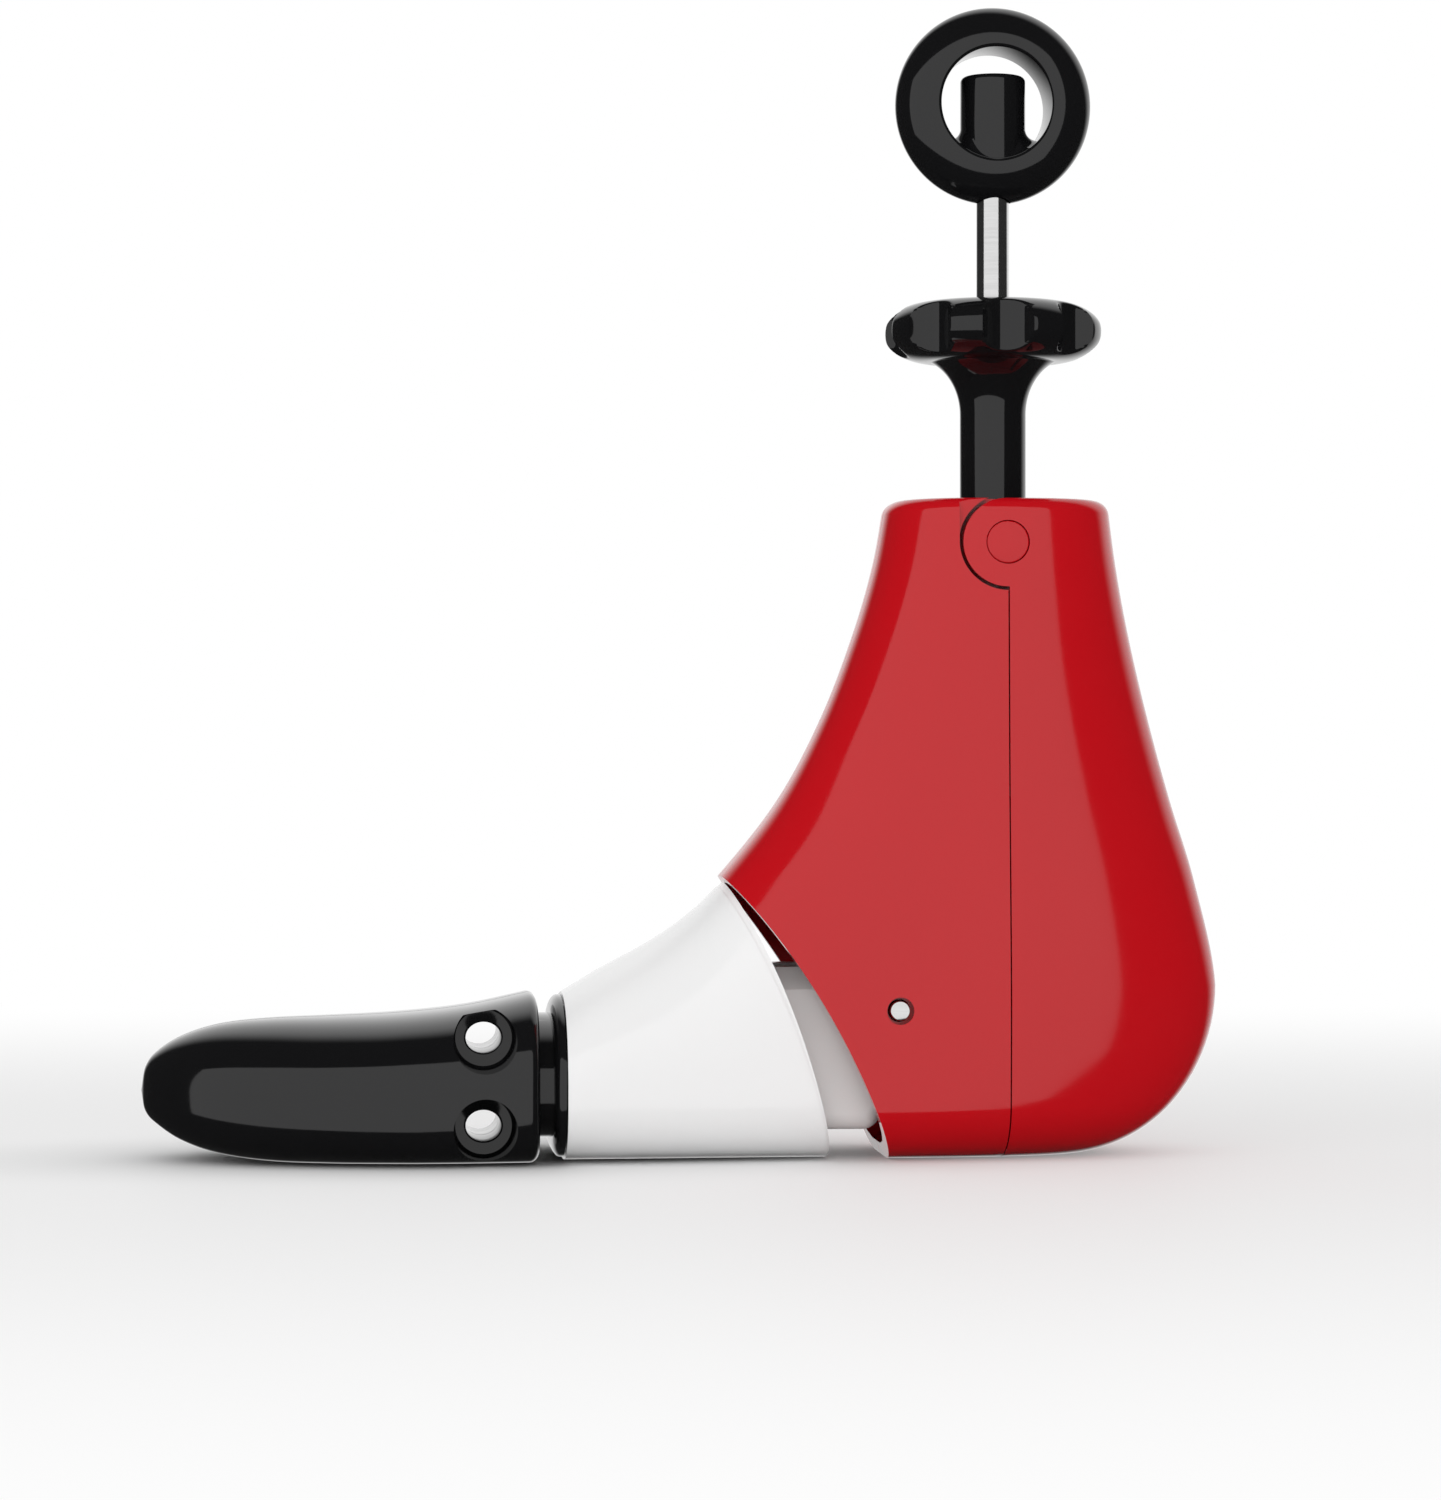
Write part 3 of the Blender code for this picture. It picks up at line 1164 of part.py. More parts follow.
def toe_half(name, side):
    """One swinging half of the black toe."""
    half = piece(name, loft(toe_rings(), tip=True), BLACK)
    cut(half, toe_core(side))
    near, far = sorted((side * TOE_PART, side * REACH))
    keep(half, cutter(f"toe_region_{side:+d}", box((-REACH, near, -REACH), (REACH, far, REACH))))
    pocket = loft([neck_ring(POCKET_FRONT_X, POCKET_CLEAR), neck_ring(TOE_BACK_X + EPS, POCKET_CLEAR)])
    cut(half, cutter(f"neck_pocket_{side:+d}", pocket))
    cut(half, cutter(f"lug_room_{side:+d}", box(
        (LUG_FRONT_X - LUG_ROOM, -LUG_HALF_Y - LUG_ROOM, NECK_FOOT), (NECK_FRONT_X, LUG_HALF_Y + LUG_ROOM, NECK_TOP))))
    cut(half, cutter(f"screw_channel_{side:+d}", rod_between(
        (TOE_HOLLOW_BACK - EPS, 0.0, SCREW_Z), (TOE_BACK_X, 0.0, SCREW_Z), SCREW_CHANNEL_R, 14)))
    cut(half, cutter(f"clip_room_{side:+d}", rod_between(
        (LUG_FRONT_X - SCREW_FLANGE - 2.0 * MM, 0.0, SCREW_Z), (TOE_BACK_X, 0.0, SCREW_Z),
        SCREW_CLIP_R + 0.8 * MM, 16)))
    cut(half, cutter(f"toe_pin_hole_{side:+d}", rod_between(
        (TOE_PIVOT_X, side * TOE_PIVOT_Y, -EPS), (TOE_PIVOT_X, side * TOE_PIVOT_Y, TOE_PIN_TOP + GAP),
        TOE_PIN_R + GAP, 12)))
    for index, z in enumerate(PLUG_ZS):
        cut(half, plug_hole(f"plug_hole_{index}_{side:+d}", side, z))
    return half


def toe_pin(name, side):
    return piece(name, rod_between(
        (TOE_PIVOT_X, side * TOE_PIVOT_Y, TOE_PIN_FOOT), (TOE_PIVOT_X, side * TOE_PIVOT_Y, TOE_PIN_TOP),
        TOE_PIN_R, 12), STEEL)


# Toe screw and wedge

def along_x(rings, offset_z=SCREW_Z):
    """Turns rings about Z into rings about the toe screw's axis."""
    return moved(rings, Matrix.Translation((0.0, 0.0, offset_z)) @ Matrix.Rotation(radians(90.0), 4, "Y"))


def lead_screw():
    """The toe screw: left-handed thread at the front, a flange behind the bulkhead."""
    columns = 12
    flange_front = FORE_FRONT_X + 0.5 * MM + GAP
    rings = [circle_ring(SCREW_CORE_R, SCREW_FRONT_X, columns)]
    rings += thread_rings(SCREW_CORE_R, SCREW_THREAD_DEPTH, SCREW_LEAD, SCREW_THREAD_FRONT, SCREW_THREAD_BACK,
                          columns, hand=-1)
    rings.append(circle_ring(SCREW_CORE_R, SCREW_BACK_X, columns))
    screw = piece("lead_screw", loft(along_x(rings)), STEEL)
    join(screw, cutter("screw_flange", rod_between(
        (flange_front, 0.0, SCREW_Z), (flange_front + SCREW_FLANGE, 0.0, SCREW_Z), SCREW_FLANGE_R, 16)))
    return screw


def screw_clip():
    """The clip that keeps the toe screw from moving back through the bulkhead."""
    high = LUG_FRONT_X - GAP
    profile = bush_profile(SCREW_CORE_R + GAP, SCREW_CLIP_R, -SCREW_FLANGE, 0.0)
    return turned("screw_clip", profile, (high, 0.0, SCREW_Z), STEEL, steps=16, closed=True, axis="X")


def screw_coupler():
    """The sleeve that joins the flexible shaft to the toe screw."""
    profile = bush_profile(FLEX_R + GAP, SCREW_COUPLER_R, -SCREW_COUPLER_LONG / 2, SCREW_COUPLER_LONG / 2)
    return turned("screw_coupler", profile, (SCREW_BACK_X, 0.0, SCREW_Z), STEEL, steps=16, closed=True, axis="X")


def wedge_half_width(x):
    return RIDGE_Y - GAP + (x - RIDGE_X) * WEDGE_SLOPE


def toe_wedge():
    """The wedge-shaped nut that drives the toe halves apart as it runs forward."""
    back = wedge_half_width(WEDGE_BACK_X)
    front = wedge_half_width(WEDGE_FRONT_X)
    outline = [(WEDGE_FRONT_X, -front), (WEDGE_BACK_X, -back), (WEDGE_BACK_X, back), (WEDGE_FRONT_X, front)]
    wedge = piece("toe_wedge", plan_slab(outline, SCREW_Z - WEDGE_HIGH / 2, SCREW_Z + WEDGE_HIGH / 2), BRASS)
    rings = thread_rings(SCREW_CORE_R + THREAD_CLEAR, SCREW_THREAD_DEPTH, SCREW_LEAD,
                         WEDGE_FRONT_X - EPS, WEDGE_BACK_X + EPS, 12, hand=-1, fade_out=False)
    cut(wedge, cutter("wedge_thread", loft(along_x(rings))))
    return wedge


# Springs

def heel_spring():
    points = coil_points((HEEL_SPRING_FRONT, 0.0, HEEL_SPRING_Z), (HEEL_SPRING_BACK, 0.0, HEEL_SPRING_Z),
                         HEEL_SPRING_R, HEEL_SPRING_TURNS, 3.0 * MM)
    return tube("heel_spring", points, SPRING_WIRE_R, STEEL)


def toe_spring():
    points = coil_points((TOE_SPRING_X, -TOE_SPRING_HALF, TOE_SPRING_Z), (TOE_SPRING_X, TOE_SPRING_HALF, TOE_SPRING_Z),
                         TOE_SPRING_R, TOE_SPRING_TURNS, 2.0 * MM)
    return tube("toe_spring", points, SPRING_WIRE_R, STEEL)


def build():
    global PARTS, CUTTERS
    clear_scene()
    PARTS = new_collection("shoe_stretcher")
    CUTTERS = new_collection("cutters")

    core = ankle_core()
    region = front_region()
    ankle_shell("ankle_shell_left", -1, core, region)
    ankle_shell("ankle_shell_right", 1, core, region)
    stem_nut()
    rod_bearing()
    block_pins()
    shell_screws()
    flex_shaft()
    heel_spring()

    heel = pivot("heel_hinge", (STEM_X, 0.0, HINGE_Z))
    hang(heel, heel_shell())

    stem = pivot("stem_axis", (STEM_X, 0.0, SPREADER_Z))
    hang(stem, star_knob(), spreader_clip(), spreader())

    ring = pivot("rod_axis", (STEM_X, 0.0, RING_Z))
    hang(ring, ring_handle(), drive_rod(), rod_collar(), drive_coupler())

    ankle = pivot("ankle_pivot", (ANKLE_X, 0.0, ANKLE_Z))
    hang(ankle, midfoot_shell(), ankle_tongue(), front_bulkhead(), toe_spring())
    hang(ankle, toe_pin("toe_pin_left", -1), toe_pin("toe_pin_right", 1))

    screw = pivot("toe_screw_axis", (LUG_FRONT_X, 0.0, SCREW_Z))
    hang(screw, lead_screw(), screw_clip(), screw_coupler(), toe_wedge())

    for side, word in ((-1, "left"), (1, "right")):
        swing = pivot(f"toe_pivot_{word}", (TOE_PIVOT_X, side * TOE_PIVOT_Y, SCREW_Z))
        hang(swing, toe_half(f"toe_half_{word}", side))


build()
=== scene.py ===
"""The looks of the two-way shoe stretcher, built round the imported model.

The toe points to -X, the heel to +X and +Z is up. -Y is the side that the camera sees.
"""

import json
from math import asin, cos, radians, sin, sqrt, tau

import bmesh
import bpy
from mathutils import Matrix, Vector


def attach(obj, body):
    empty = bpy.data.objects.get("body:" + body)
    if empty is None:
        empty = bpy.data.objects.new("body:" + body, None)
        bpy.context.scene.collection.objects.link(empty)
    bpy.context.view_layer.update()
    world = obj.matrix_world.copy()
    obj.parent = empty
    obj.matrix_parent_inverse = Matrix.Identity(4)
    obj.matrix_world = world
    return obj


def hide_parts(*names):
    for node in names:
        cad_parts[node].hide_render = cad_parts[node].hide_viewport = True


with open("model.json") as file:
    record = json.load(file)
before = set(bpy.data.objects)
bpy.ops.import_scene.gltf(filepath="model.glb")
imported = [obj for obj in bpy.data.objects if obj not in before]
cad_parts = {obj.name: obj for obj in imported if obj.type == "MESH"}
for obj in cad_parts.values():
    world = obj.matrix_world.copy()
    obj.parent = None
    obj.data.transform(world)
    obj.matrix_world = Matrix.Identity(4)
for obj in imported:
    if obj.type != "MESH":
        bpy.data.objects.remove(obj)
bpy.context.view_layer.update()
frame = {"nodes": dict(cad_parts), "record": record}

MM = 0.001
NODES = frame["nodes"]
BODY_OF = {node: body for body, members in frame["record"]["behaviour"]["bodies"].items() for node in members}
SLOT_OF = {part["node"]: part["material_slot"] for part in frame["record"]["subparts"]}


def in_metres(rows):
    return [tuple(value * MM for value in row) for row in rows]


SIDES = ((-1, "left"), (1, "right"))
SMOOTH_ANGLE = radians(32.0)
QUARTER = radians(90.0)

# Fits
GAP = 0.3 * MM
PART_LINE = 0.15 * MM
EPS = 1.0 * MM            # how far a tool runs past the face that it cuts
REACH = 400.0 * MM        # past every side of the object

# Ankle and heel block
BLOCK_TOP = 146.3 * MM
BLOCK_WALL = 3.0 * MM
HOLLOW_EVEN_Z = 40.0 * MM  # the hollow's sections keep their own height from here up
BLOCK_POWER = 2.5         # superellipse power of the level sections, high on the block
HEEL_POWER = 3.0          # and low at the heel
POWER_LOW_Z = 35.0 * MM
POWER_HIGH_Z = 115.0 * MM
TOP_ROUND = 3.0 * MM
SOLE_ROUND_Z = 12.0 * MM
SOLE_ROUND_Y = 17.0 * MM
HEEL_ROUND_Z = 38.0 * MM
HEEL_FLAT_X = 84.0 * MM
HEEL_X = 120.0 * MM
BLOCK_ROWS = in_metres([   # height, front edge, back edge, half width
    (0.0, -30.0, 120.0, 27.0),
    (38.0, -14.0, 120.0, 27.0),
    (62.0, 8.0, 115.0, 25.8),
    (79.0, 21.4, 109.8, 24.9),
    (97.0, 31.1, 104.9, 24.2),
    (116.0, 38.5, 100.4, 23.7),
    (132.0, 43.2, 97.4, 23.3),
    (146.3, 45.8, 95.5, 23.0),
])
STEM_X = 70.2 * MM
HINGE_Z = 136.4 * MM
KNUCKLE_R = 9.8 * MM
HINGE_PIN_R = 4.7 * MM
KNUCKLE_GROOVE = 0.8 * MM
KNUCKLE_END = radians(271.8)  # where the knuckle's round meets the heel's front edge
CORNER_SUNK = 2.2 * MM
PIN_RING = 0.12 * MM
HINGE_PIN_IN = 2.0 * MM
HINGE_PIN_SUNK = 0.3 * MM
HEEL_SWING = radians(8.0)
TOWER_HALF_Y = 14.0 * MM
TOWER_BACK = 15.0 * MM
TOWER_FRONT = 14.5 * MM
TOWER_FOOT_Z = 108.0 * MM
TOWER_SWING_ROOM = 3.0 * MM
ANKLE_X = 45.9 * MM
ANKLE_Z = 33.5 * MM
ANKLE_PIN_R = 2.2 * MM
ANKLE_HOLE_R = 3.0 * MM
ANKLE_HOLE_DEEP = 3.0 * MM
ANKLE_HOLE_INNER_Y = 5.0 * MM
ANKLE_PIN_INNER_Y = 8.5 * MM
PIN_EDGE = 0.3 * MM
ANKLE_PIN_EDGE = 0.25 * MM
ANKLE_PIN_SUNK = 0.5 * MM
ANKLE_BOSS_R = 5.0 * MM
SHELF_FRONT = 26.0 * MM
SHELF_BACK = 11.4 * MM
SHELF_FOOT = 48.9 * MM
SHELF_TOP = 51.6 * MM
SHELF_HALF_Y = 12.0 * MM
BEARING_R = 6.2 * MM
SPRING_PIN_R = 1.6 * MM
SPRING_PIN_X = 59.6 * MM
SPRING_PIN_HALF = 9.0 * MM
SPRING_LUG_Y = 5.0 * MM
SPRING_LUG_THICK = 6.0 * MM
SPRING_LUG_HALF = 3.6 * MM
SPRING_Z = 11.5 * MM
HEEL_LUG_X = 88.3 * MM
HEEL_LUG_LONG = 5.0 * MM
HEEL_LUG_HALF = 3.0 * MM
HEEL_LUG_TOP = 15.0 * MM
SHELL_SCREWS = in_metres([(52.5, 119.0), (36.0, 76.0), (53.0, 60.0)])
PILLAR_R = 4.6 * MM
PILLAR_HALF = 40.0 * MM
SHELL_SCREW_R = 1.5 * MM
SCREW_HEAD_R = 2.8 * MM
SCREW_SEAT_Y = 9.0 * MM
SCREW_HOLE_END = -8.6 * MM
BLOCK_COLUMNS = 144
CUT_TOP, CUT_FOOT = in_metres([(8.9, 62.0), (44.8, 0.0)])
CUT_BOW = 3.9 * MM

# Forefoot and toe
FORE_FRONT_X = -27.0 * MM
FORE_WAIST_Z = 16.0 * MM
FORE_WALL = 2.6 * MM
FORE_POWERS = (2.3, 2.9)  # superellipse powers of the upright sections, above and below the waist
FORE_ROWS = in_metres([    # place along X, height of the top, half width
    (-27.0, 36.6, 31.0),
    (-18.6, 41.7, 30.4),
    (-6.7, 48.2, 29.4),
    (2.0, 54.4, 28.6),
    (8.5, 60.7, 28.0),
    (20.0, 74.0, 27.0),
    (33.0, 90.0, 26.0),
])
RIM_TOP, RIM_FOOT = in_metres([(9.3, 60.7), (31.6, 0.0)])
RIM_BOW = 2.9 * MM
TOE_BACK_X = -33.0 * MM
TOE_BACK_ROUND = 2.0 * MM
TOE_TIP_X = -120.0 * MM
TOE_WALL = 3.0 * MM
TOE_PART = 0.3 * MM
TOE_HOLLOW_FRONT = -113.0 * MM
TOE_HOLLOW_BACK = -52.5 * MM
TOE_WAIST_SHARE = 0.44
TOE_POWERS = (2.9, 4.5)
TOE_BLUNT = 60.0 * MM     # the toe's own powers start this far behind its tip
TOE_ROWS = in_metres([     # place along X, top, bottom, half width
    (-120.0, 15.4, 15.4, 0.0),
    (-119.2, 20.3, 11.2, 5.4),
    (-116.6, 23.9, 8.2, 10.4),
    (-111.0, 27.4, 4.6, 16.3),
    (-103.0, 29.9, 1.9, 21.6),
    (-92.0, 31.1, 0.4, 26.4),
    (-78.0, 31.6, 0.0, 30.3),
    (-62.9, 32.3, 0.0, 32.8),
    (-48.0, 33.9, 0.0, 33.2),
    (-33.0, 37.1, 0.0, 31.4),
])

FORE_COLUMNS = 128
TOE_COLUMNS = 144
TONGUE_HALF_Y = 17.0 * MM
TONGUE_FOOT = 6.7 * MM
TONGUE_BACK_X = 43.0 * MM
TONGUE_ROUND = 4.0 * MM
TONGUE_EYE_R = 9.1 * MM
TONGUE_EDGE = 3.5 * MM
TONGUE_SLOPE_FOOT = 37.8 * MM
TONGUE_SLOPE = 0.9         # inwards for each step up
TONGUE_SLOT_HALF = 7.0 * MM
TONGUE_SLOT_FRONT = 16.0 * MM
TONGUE_SLOT_FOOT = 10.0 * MM
TONGUE_COLLAR_DEEP = 4.0 * MM
WINDOW_INNER_Y = 18.2 * MM  # each side of the collar is open from here outwards
WINDOW_FOOT = 10.0 * MM
WINDOW_TOP = 31.0 * MM
LIP_TOP, LIP_FOOT = in_metres([(7.8, 60.15), (31.2, -0.14)])  # the front edge of the rim's thin step
LIP_DEEP = 0.35 * MM
PLUG_X = -44.9 * MM
PLUG_ZS = (8.3 * MM, 27.6 * MM)
PLUG_R = 3.9 * MM
PLUG_FLAT = 0.88          # height of the hole over its width
PLUG_SEAT_R = 6.7 * MM    # wide round seat from here outwards
PLUG_SEAT_Y = 17.0 * MM
PLUG_LIP = 0.5 * MM
PLUG_DISH = 0.3 * MM
DOME_HIGH = 2.6 * MM
DOME_LIP = 0.6 * MM
NECK_TOP = 32.0 * MM
NECK_FOOT = 5.0 * MM
NECK_HALF_Y = 27.2 * MM
NECK_FRONT_X = -34.0 * MM
LUG_HALF_Y = 13.0 * MM
LUG_FRONT_X = -38.4 * MM
POCKET_FRONT_X = -36.9 * MM
LUG_ROOM = 1.2 * MM        # round the lug, in the toe halves
POCKET_CLEAR = 0.9 * MM
SKIRT_DEEP = 5.0 * MM
SKIRT_WALL = 2.0 * MM
SKIRT_FLOOR = 0.5 * MM
TOE_PIVOT_X = -35.2 * MM
TOE_PIVOT_Y = 9.0 * MM
TOE_PIN_R = 1.2 * MM
TOE_PIN_TOP = 35.0 * MM
SCREW_Z = 16.6 * MM
SCREW_CORE_R = 2.2 * MM
SCREW_CHANNEL_R = 3.3 * MM
CLIP_ROOM_LONG = 4.0 * MM
CLIP_ROOM_R = 4.4 * MM
RIDGE_X = -66.0 * MM
RIDGE_Y = 8.1 * MM
RIDGE_HALF_X = 5.0 * MM
RIDGE_SLOPES = (0.4, 0.9)
TOE_SPRING_R = 1.5 * MM
TOE_SPRING_X = -57.5 * MM
TOE_SPRING_Z = 27.0 * MM
TOE_SPRING_HALF = 8.0 * MM
TOE_POST_END = 11.0 * MM
TOE_POST_HALF = 2.5 * MM

# Star knob, nut and spreader
STEM_R = 7.4 * MM
STEM_BORE_R = 4.0 * MM
STEM_LEAD = 5.0 * MM
STEM_TRAVEL = 20.0 * MM
THREAD_DEPTH = 1.0 * MM
STEM_THREAD_TOP = 143.0 * MM
STEM_THREAD_FOOT = 104.0 * MM
STEM_WAY_R = 9.0 * MM
STEM_FOOT = 79.0 * MM
STEM_SHOULDER = 91.3 * MM
NUT_HEX_R = 12.2 * MM
NUT_TOP = 143.0 * MM
NUT_FOOT = 112.5 * MM
NUT_ROOF_HOLE_R = 8.1 * MM
STAR_R = 24.6 * MM
STAR_RIM = 10.5 * MM      # the rim rounds off over this width, top and foot
STAR_LOBES = 8
STAR_TURN = -QUARTER      # bearing of one of the scoops between the lobes
SCOOP_R = 6.0 * MM
SCOOP_AWAY = 25.4 * MM
STAR_EDGE = 1.4 * MM      # softness of the edges between rim and scoops
STAR_FOOT = 177.8 * MM
STAR_TOP = 191.9 * MM
STAR_DOME = 0.8 * MM
FLARE_WIDE = 10.5 * MM
FLARE_FOOT = 166.0 * MM
FLARE_TOP = STAR_FOOT + 1.0 * MM
FLARE_IN = 2.0 * MM
SPREADER_R = 11.0 * MM
SPREADER_HIGH = 8.0 * MM
SPREADER_Z = 87.0 * MM
NECK_R = 6.0 * MM
RAMP_SLOT = 4.5 * MM
RAMP_HALF_Y = 8.0 * MM
RAMP_CLEAR = 0.5 * MM
RIB_FOOT = 3.0 * MM        # the ramp's rib runs on below the last step
RIB_REAR_FOOT = 12.0 * MM

# Ring and rod
ROD_R = 3.7 * MM
ROD_EDGE = 0.4 * MM
ROD_FOOT = 44.0 * MM
RING_Z = 235.4 * MM
ROD_TOP = RING_Z + 0.6 * MM
RING_R = 22.1 * MM
RING_HOLE_R = 12.5 * MM
RING_DEEP = 15.2 * MM
RING_CORNER = 0.9 * MM
BOSS_R = 7.3 * MM
BOSS_TOP = RING_Z + 7.0 * MM
BOSS_ROUND = 1.3 * MM
BOSS_DOME = 0.4 * MM
BOSS_ROOT = 2.0 * MM
BOSS_FILLET = 2.6 * MM
BOSS_FILLET_LEAST = 0.05 * MM
BOSS_FILLET_IN = 0.4 * MM

# Camera: level, as high as the block's upper half, a metre away and a little to the toe's side
EYE_Z = 90.6 * MM
AIM_X = 8.7 * MM
CAMERA_FAR = 1.0
CAMERA_AZIMUTH = radians(-5.0)
VIEW_HIGH = 335.8 * MM
SENSOR = 36.0

# Light: a wide softbox on the camera's side and towards the toe, in a pale room
BOX_PLACE = (-0.41, -1.13, 0.41)
BOX_SIZE = (3.3, 1.58)
BOX_LIGHT = 16.0
PLAIN_WHITE = (1.0, 1.0, 1.0, 1.0)
SKY_EDGE = (-0.1, 1.0)             # from just below level to straight up
ROOM_LIGHT = (0.45, 0.80)          # seen by matt surfaces at those two
BACKDROP_LEAN = (0.42, 1.0, 0.50)  # the backdrop rises behind the object and leans over it
BACKDROP_EDGE = (0.70, 1.02)
BACKDROP_LIGHT = (0.03, 1.0)     # seen by glossy surfaces, outside and inside the backdrop
FLOOR_SCALE = (0.4, 1.0, 1.0)    # distances on the floor count less along the object
FLOOR_SHIFT = (0.02, 0.0, 0.0)   # and start ahead of the block
FLOOR_NEAR = (0.02, 0.07, 0.0, 0.38)   # near and far distance, share of plain white gained between them
FLOOR_FAR = (0.10, 0.60, 0.0, 0.62)


# Shapes from tables and formulas

def smooth_row(rows, at):
    """Reads a table of rows at the first column's value, along a smooth curve through the rows."""
    at = min(max(at, rows[0][0]), rows[-1][0])
    index = 0
    while index < len(rows) - 2 and at > rows[index + 1][0]:
        index += 1
    low, high = rows[index], rows[index + 1]
    before = rows[max(index - 1, 0)]
    after = rows[min(index + 2, len(rows) - 1)]
    span = high[0] - low[0]
    t = (at - low[0]) / span
    values = []
    for column in range(1, len(low)):
        slope_low = (high[column] - before[column]) / (high[0] - before[0]) * span
        slope_high = (after[column] - low[column]) / (after[0] - low[0]) * span
        value = (2 * t ** 3 - 3 * t ** 2 + 1) * low[column] + (t ** 3 - 2 * t ** 2 + t) * slope_low
        value += (-2 * t ** 3 + 3 * t ** 2) * high[column] + (t ** 3 - t ** 2) * slope_high
        values.append(value)
    return values


def between(side, near, far):
    """Two distances from the middle plane on one side, as low and high."""
    return sorted((side * near, side * far))


def powered(value, power):
    return (abs(value) ** (2.0 / power)) * (1.0 if value >= 0.0 else -1.0)


def bowed_line(start, end, bow, over, count=60):
    """Points along a line that bows to its left side, running past both ends by a share of its length."""
    along = Vector((end[0] - start[0], end[1] - start[1]))
    left = Vector((-along.y, along.x)).normalized()
    points = []
    for i in range(count + 1):
        t = -over + (1.0 + 2.0 * over) * i / count
        offset = 4.0 * bow * t * (1.0 - t)
        points.append((start[0] + along.x * t + left.x * offset, start[1] + along.y * t + left.y * offset))
    return points


def arc(centre, radius, start, end, count):
    angles = [start + (end - start) * i / count for i in range(count + 1)]
    return [(centre[0] + radius * cos(angle), centre[1] + radius * sin(angle)) for angle in angles]


def bearings(count):
    return [tau * i / count for i in range(count)]


def block_section(z):
    """Front edge, back edge and half width of the block's outside at a height."""
    front, back, half_width = smooth_row(BLOCK_ROWS, z)
    if z < HEEL_ROUND_Z:
        drop = (HEEL_ROUND_Z - z) / HEEL_ROUND_Z
        back = HEEL_FLAT_X + (HEEL_X - HEEL_FLAT_X) * sqrt(max(0.0, 1.0 - drop ** 2))
    if z < SOLE_ROUND_Z:
        drop = (SOLE_ROUND_Z - z) / SOLE_ROUND_Z
        half_width -= SOLE_ROUND_Y * (1.0 - sqrt(max(0.0, 1.0 - drop ** 2)))
    if z > BLOCK_TOP - TOP_ROUND:
        rise = (z - BLOCK_TOP + TOP_ROUND) / TOP_ROUND
        inset = TOP_ROUND * (1.0 - sqrt(max(0.0, 1.0 - rise ** 2)))
        front += inset
        back -= inset
        half_width -= inset
    return front, back, half_width


def block_power(z):
    """The level sections are squarer low at the heel than at the top."""
    share = min(1.0, max(0.0, (z - POWER_LOW_Z) / (POWER_HIGH_Z - POWER_LOW_Z)))
    return HEEL_POWER + (BLOCK_POWER - HEEL_POWER) * share * share * (3.0 - 2.0 * share)


def block_ring(z, inset, count):
    """A level superellipse of the block's outside, or of its hollow when the inset is a wall."""
    sunk = z - inset * max(0.0, 1.0 - (z - inset) / HOLLOW_EVEN_Z)
    front, back, half_width = block_section(sunk)
    middle = (front + back) / 2
    half_length = (back - front) / 2 - inset
    power = block_power(z)
    return [(middle + half_length * powered(cos(angle), power), (half_width - inset) * powered(sin(angle), power), z)
            for angle in bearings(count)]


def block_rings(count):
    low = [SOLE_ROUND_Z * (1.0 - cos(QUARTER * i / 14)) for i in range(15)]
    middle = [SOLE_ROUND_Z + (HEEL_ROUND_Z - SOLE_ROUND_Z) * i / 12 for i in range(1, 13)]
    shoulder = BLOCK_TOP - TOP_ROUND
    high = [HEEL_ROUND_Z + (shoulder - HEEL_ROUND_Z) * i / 48 for i in range(1, 49)]
    rim = [shoulder + TOP_ROUND * sin(QUARTER * i / 8) for i in range(1, 9)]
    return [block_ring(z, 0.0, count) for z in low + middle + high + rim]


def block_hollow_rings(count):
    roof = BLOCK_TOP - BLOCK_WALL - TOP_ROUND / 2
    low = [BLOCK_WALL + (HEEL_ROUND_Z - BLOCK_WALL) * (i / 9) ** 1.6 for i in range(10)]
    high = [HEEL_ROUND_Z + (roof - HEEL_ROUND_Z) * i / 16 for i in range(1, 17)]
    return [block_ring(z, BLOCK_WALL, count) for z in low + high]


def upright_ring(x, top, bottom, half_width, waist, count, powers):
    """A rounded section in an upright plane across X, widest at the waist."""
    ring = []
    for angle in bearings(count):
        up = sin(angle) >= 0.0
        power = powers[0] if up else powers[1]
        height = (top - waist) if up else (waist - bottom)
        ring.append((x, half_width * powered(cos(angle), power), waist + height * powered(sin(angle), power)))
    return ring


def fore_ring(x, inset, count):
    top, half_width = smooth_row(FORE_ROWS, x)
    return upright_ring(x, top - inset, inset, half_width - inset, FORE_WAIST_Z, count, FORE_POWERS)


def toe_ring(x, inset, count):
    """A section of the toe: round at the tip, with nearly upright sides further back."""
    top, bottom, half_width = smooth_row(TOE_ROWS, x)
    waist = bottom + (top - bottom) * TOE_WAIST_SHARE
    share = min(1.0, (x - TOE_TIP_X) / TOE_BLUNT)
    powers = [low + (high - low) * share for low, high in zip(FORE_POWERS, TOE_POWERS)]
    return upright_ring(x, top - inset, bottom + inset, half_width - inset, waist, count, powers)


# Modelling by operators

def clear_selection():
    if bpy.context.object and bpy.context.object.mode != "OBJECT":
        bpy.ops.object.mode_set(mode="OBJECT")
    bpy.ops.object.select_all(action="DESELECT")


def added(name):
    """The object that an operator has just added, with its name."""
    piece = bpy.context.object
    piece.name = name
    return piece


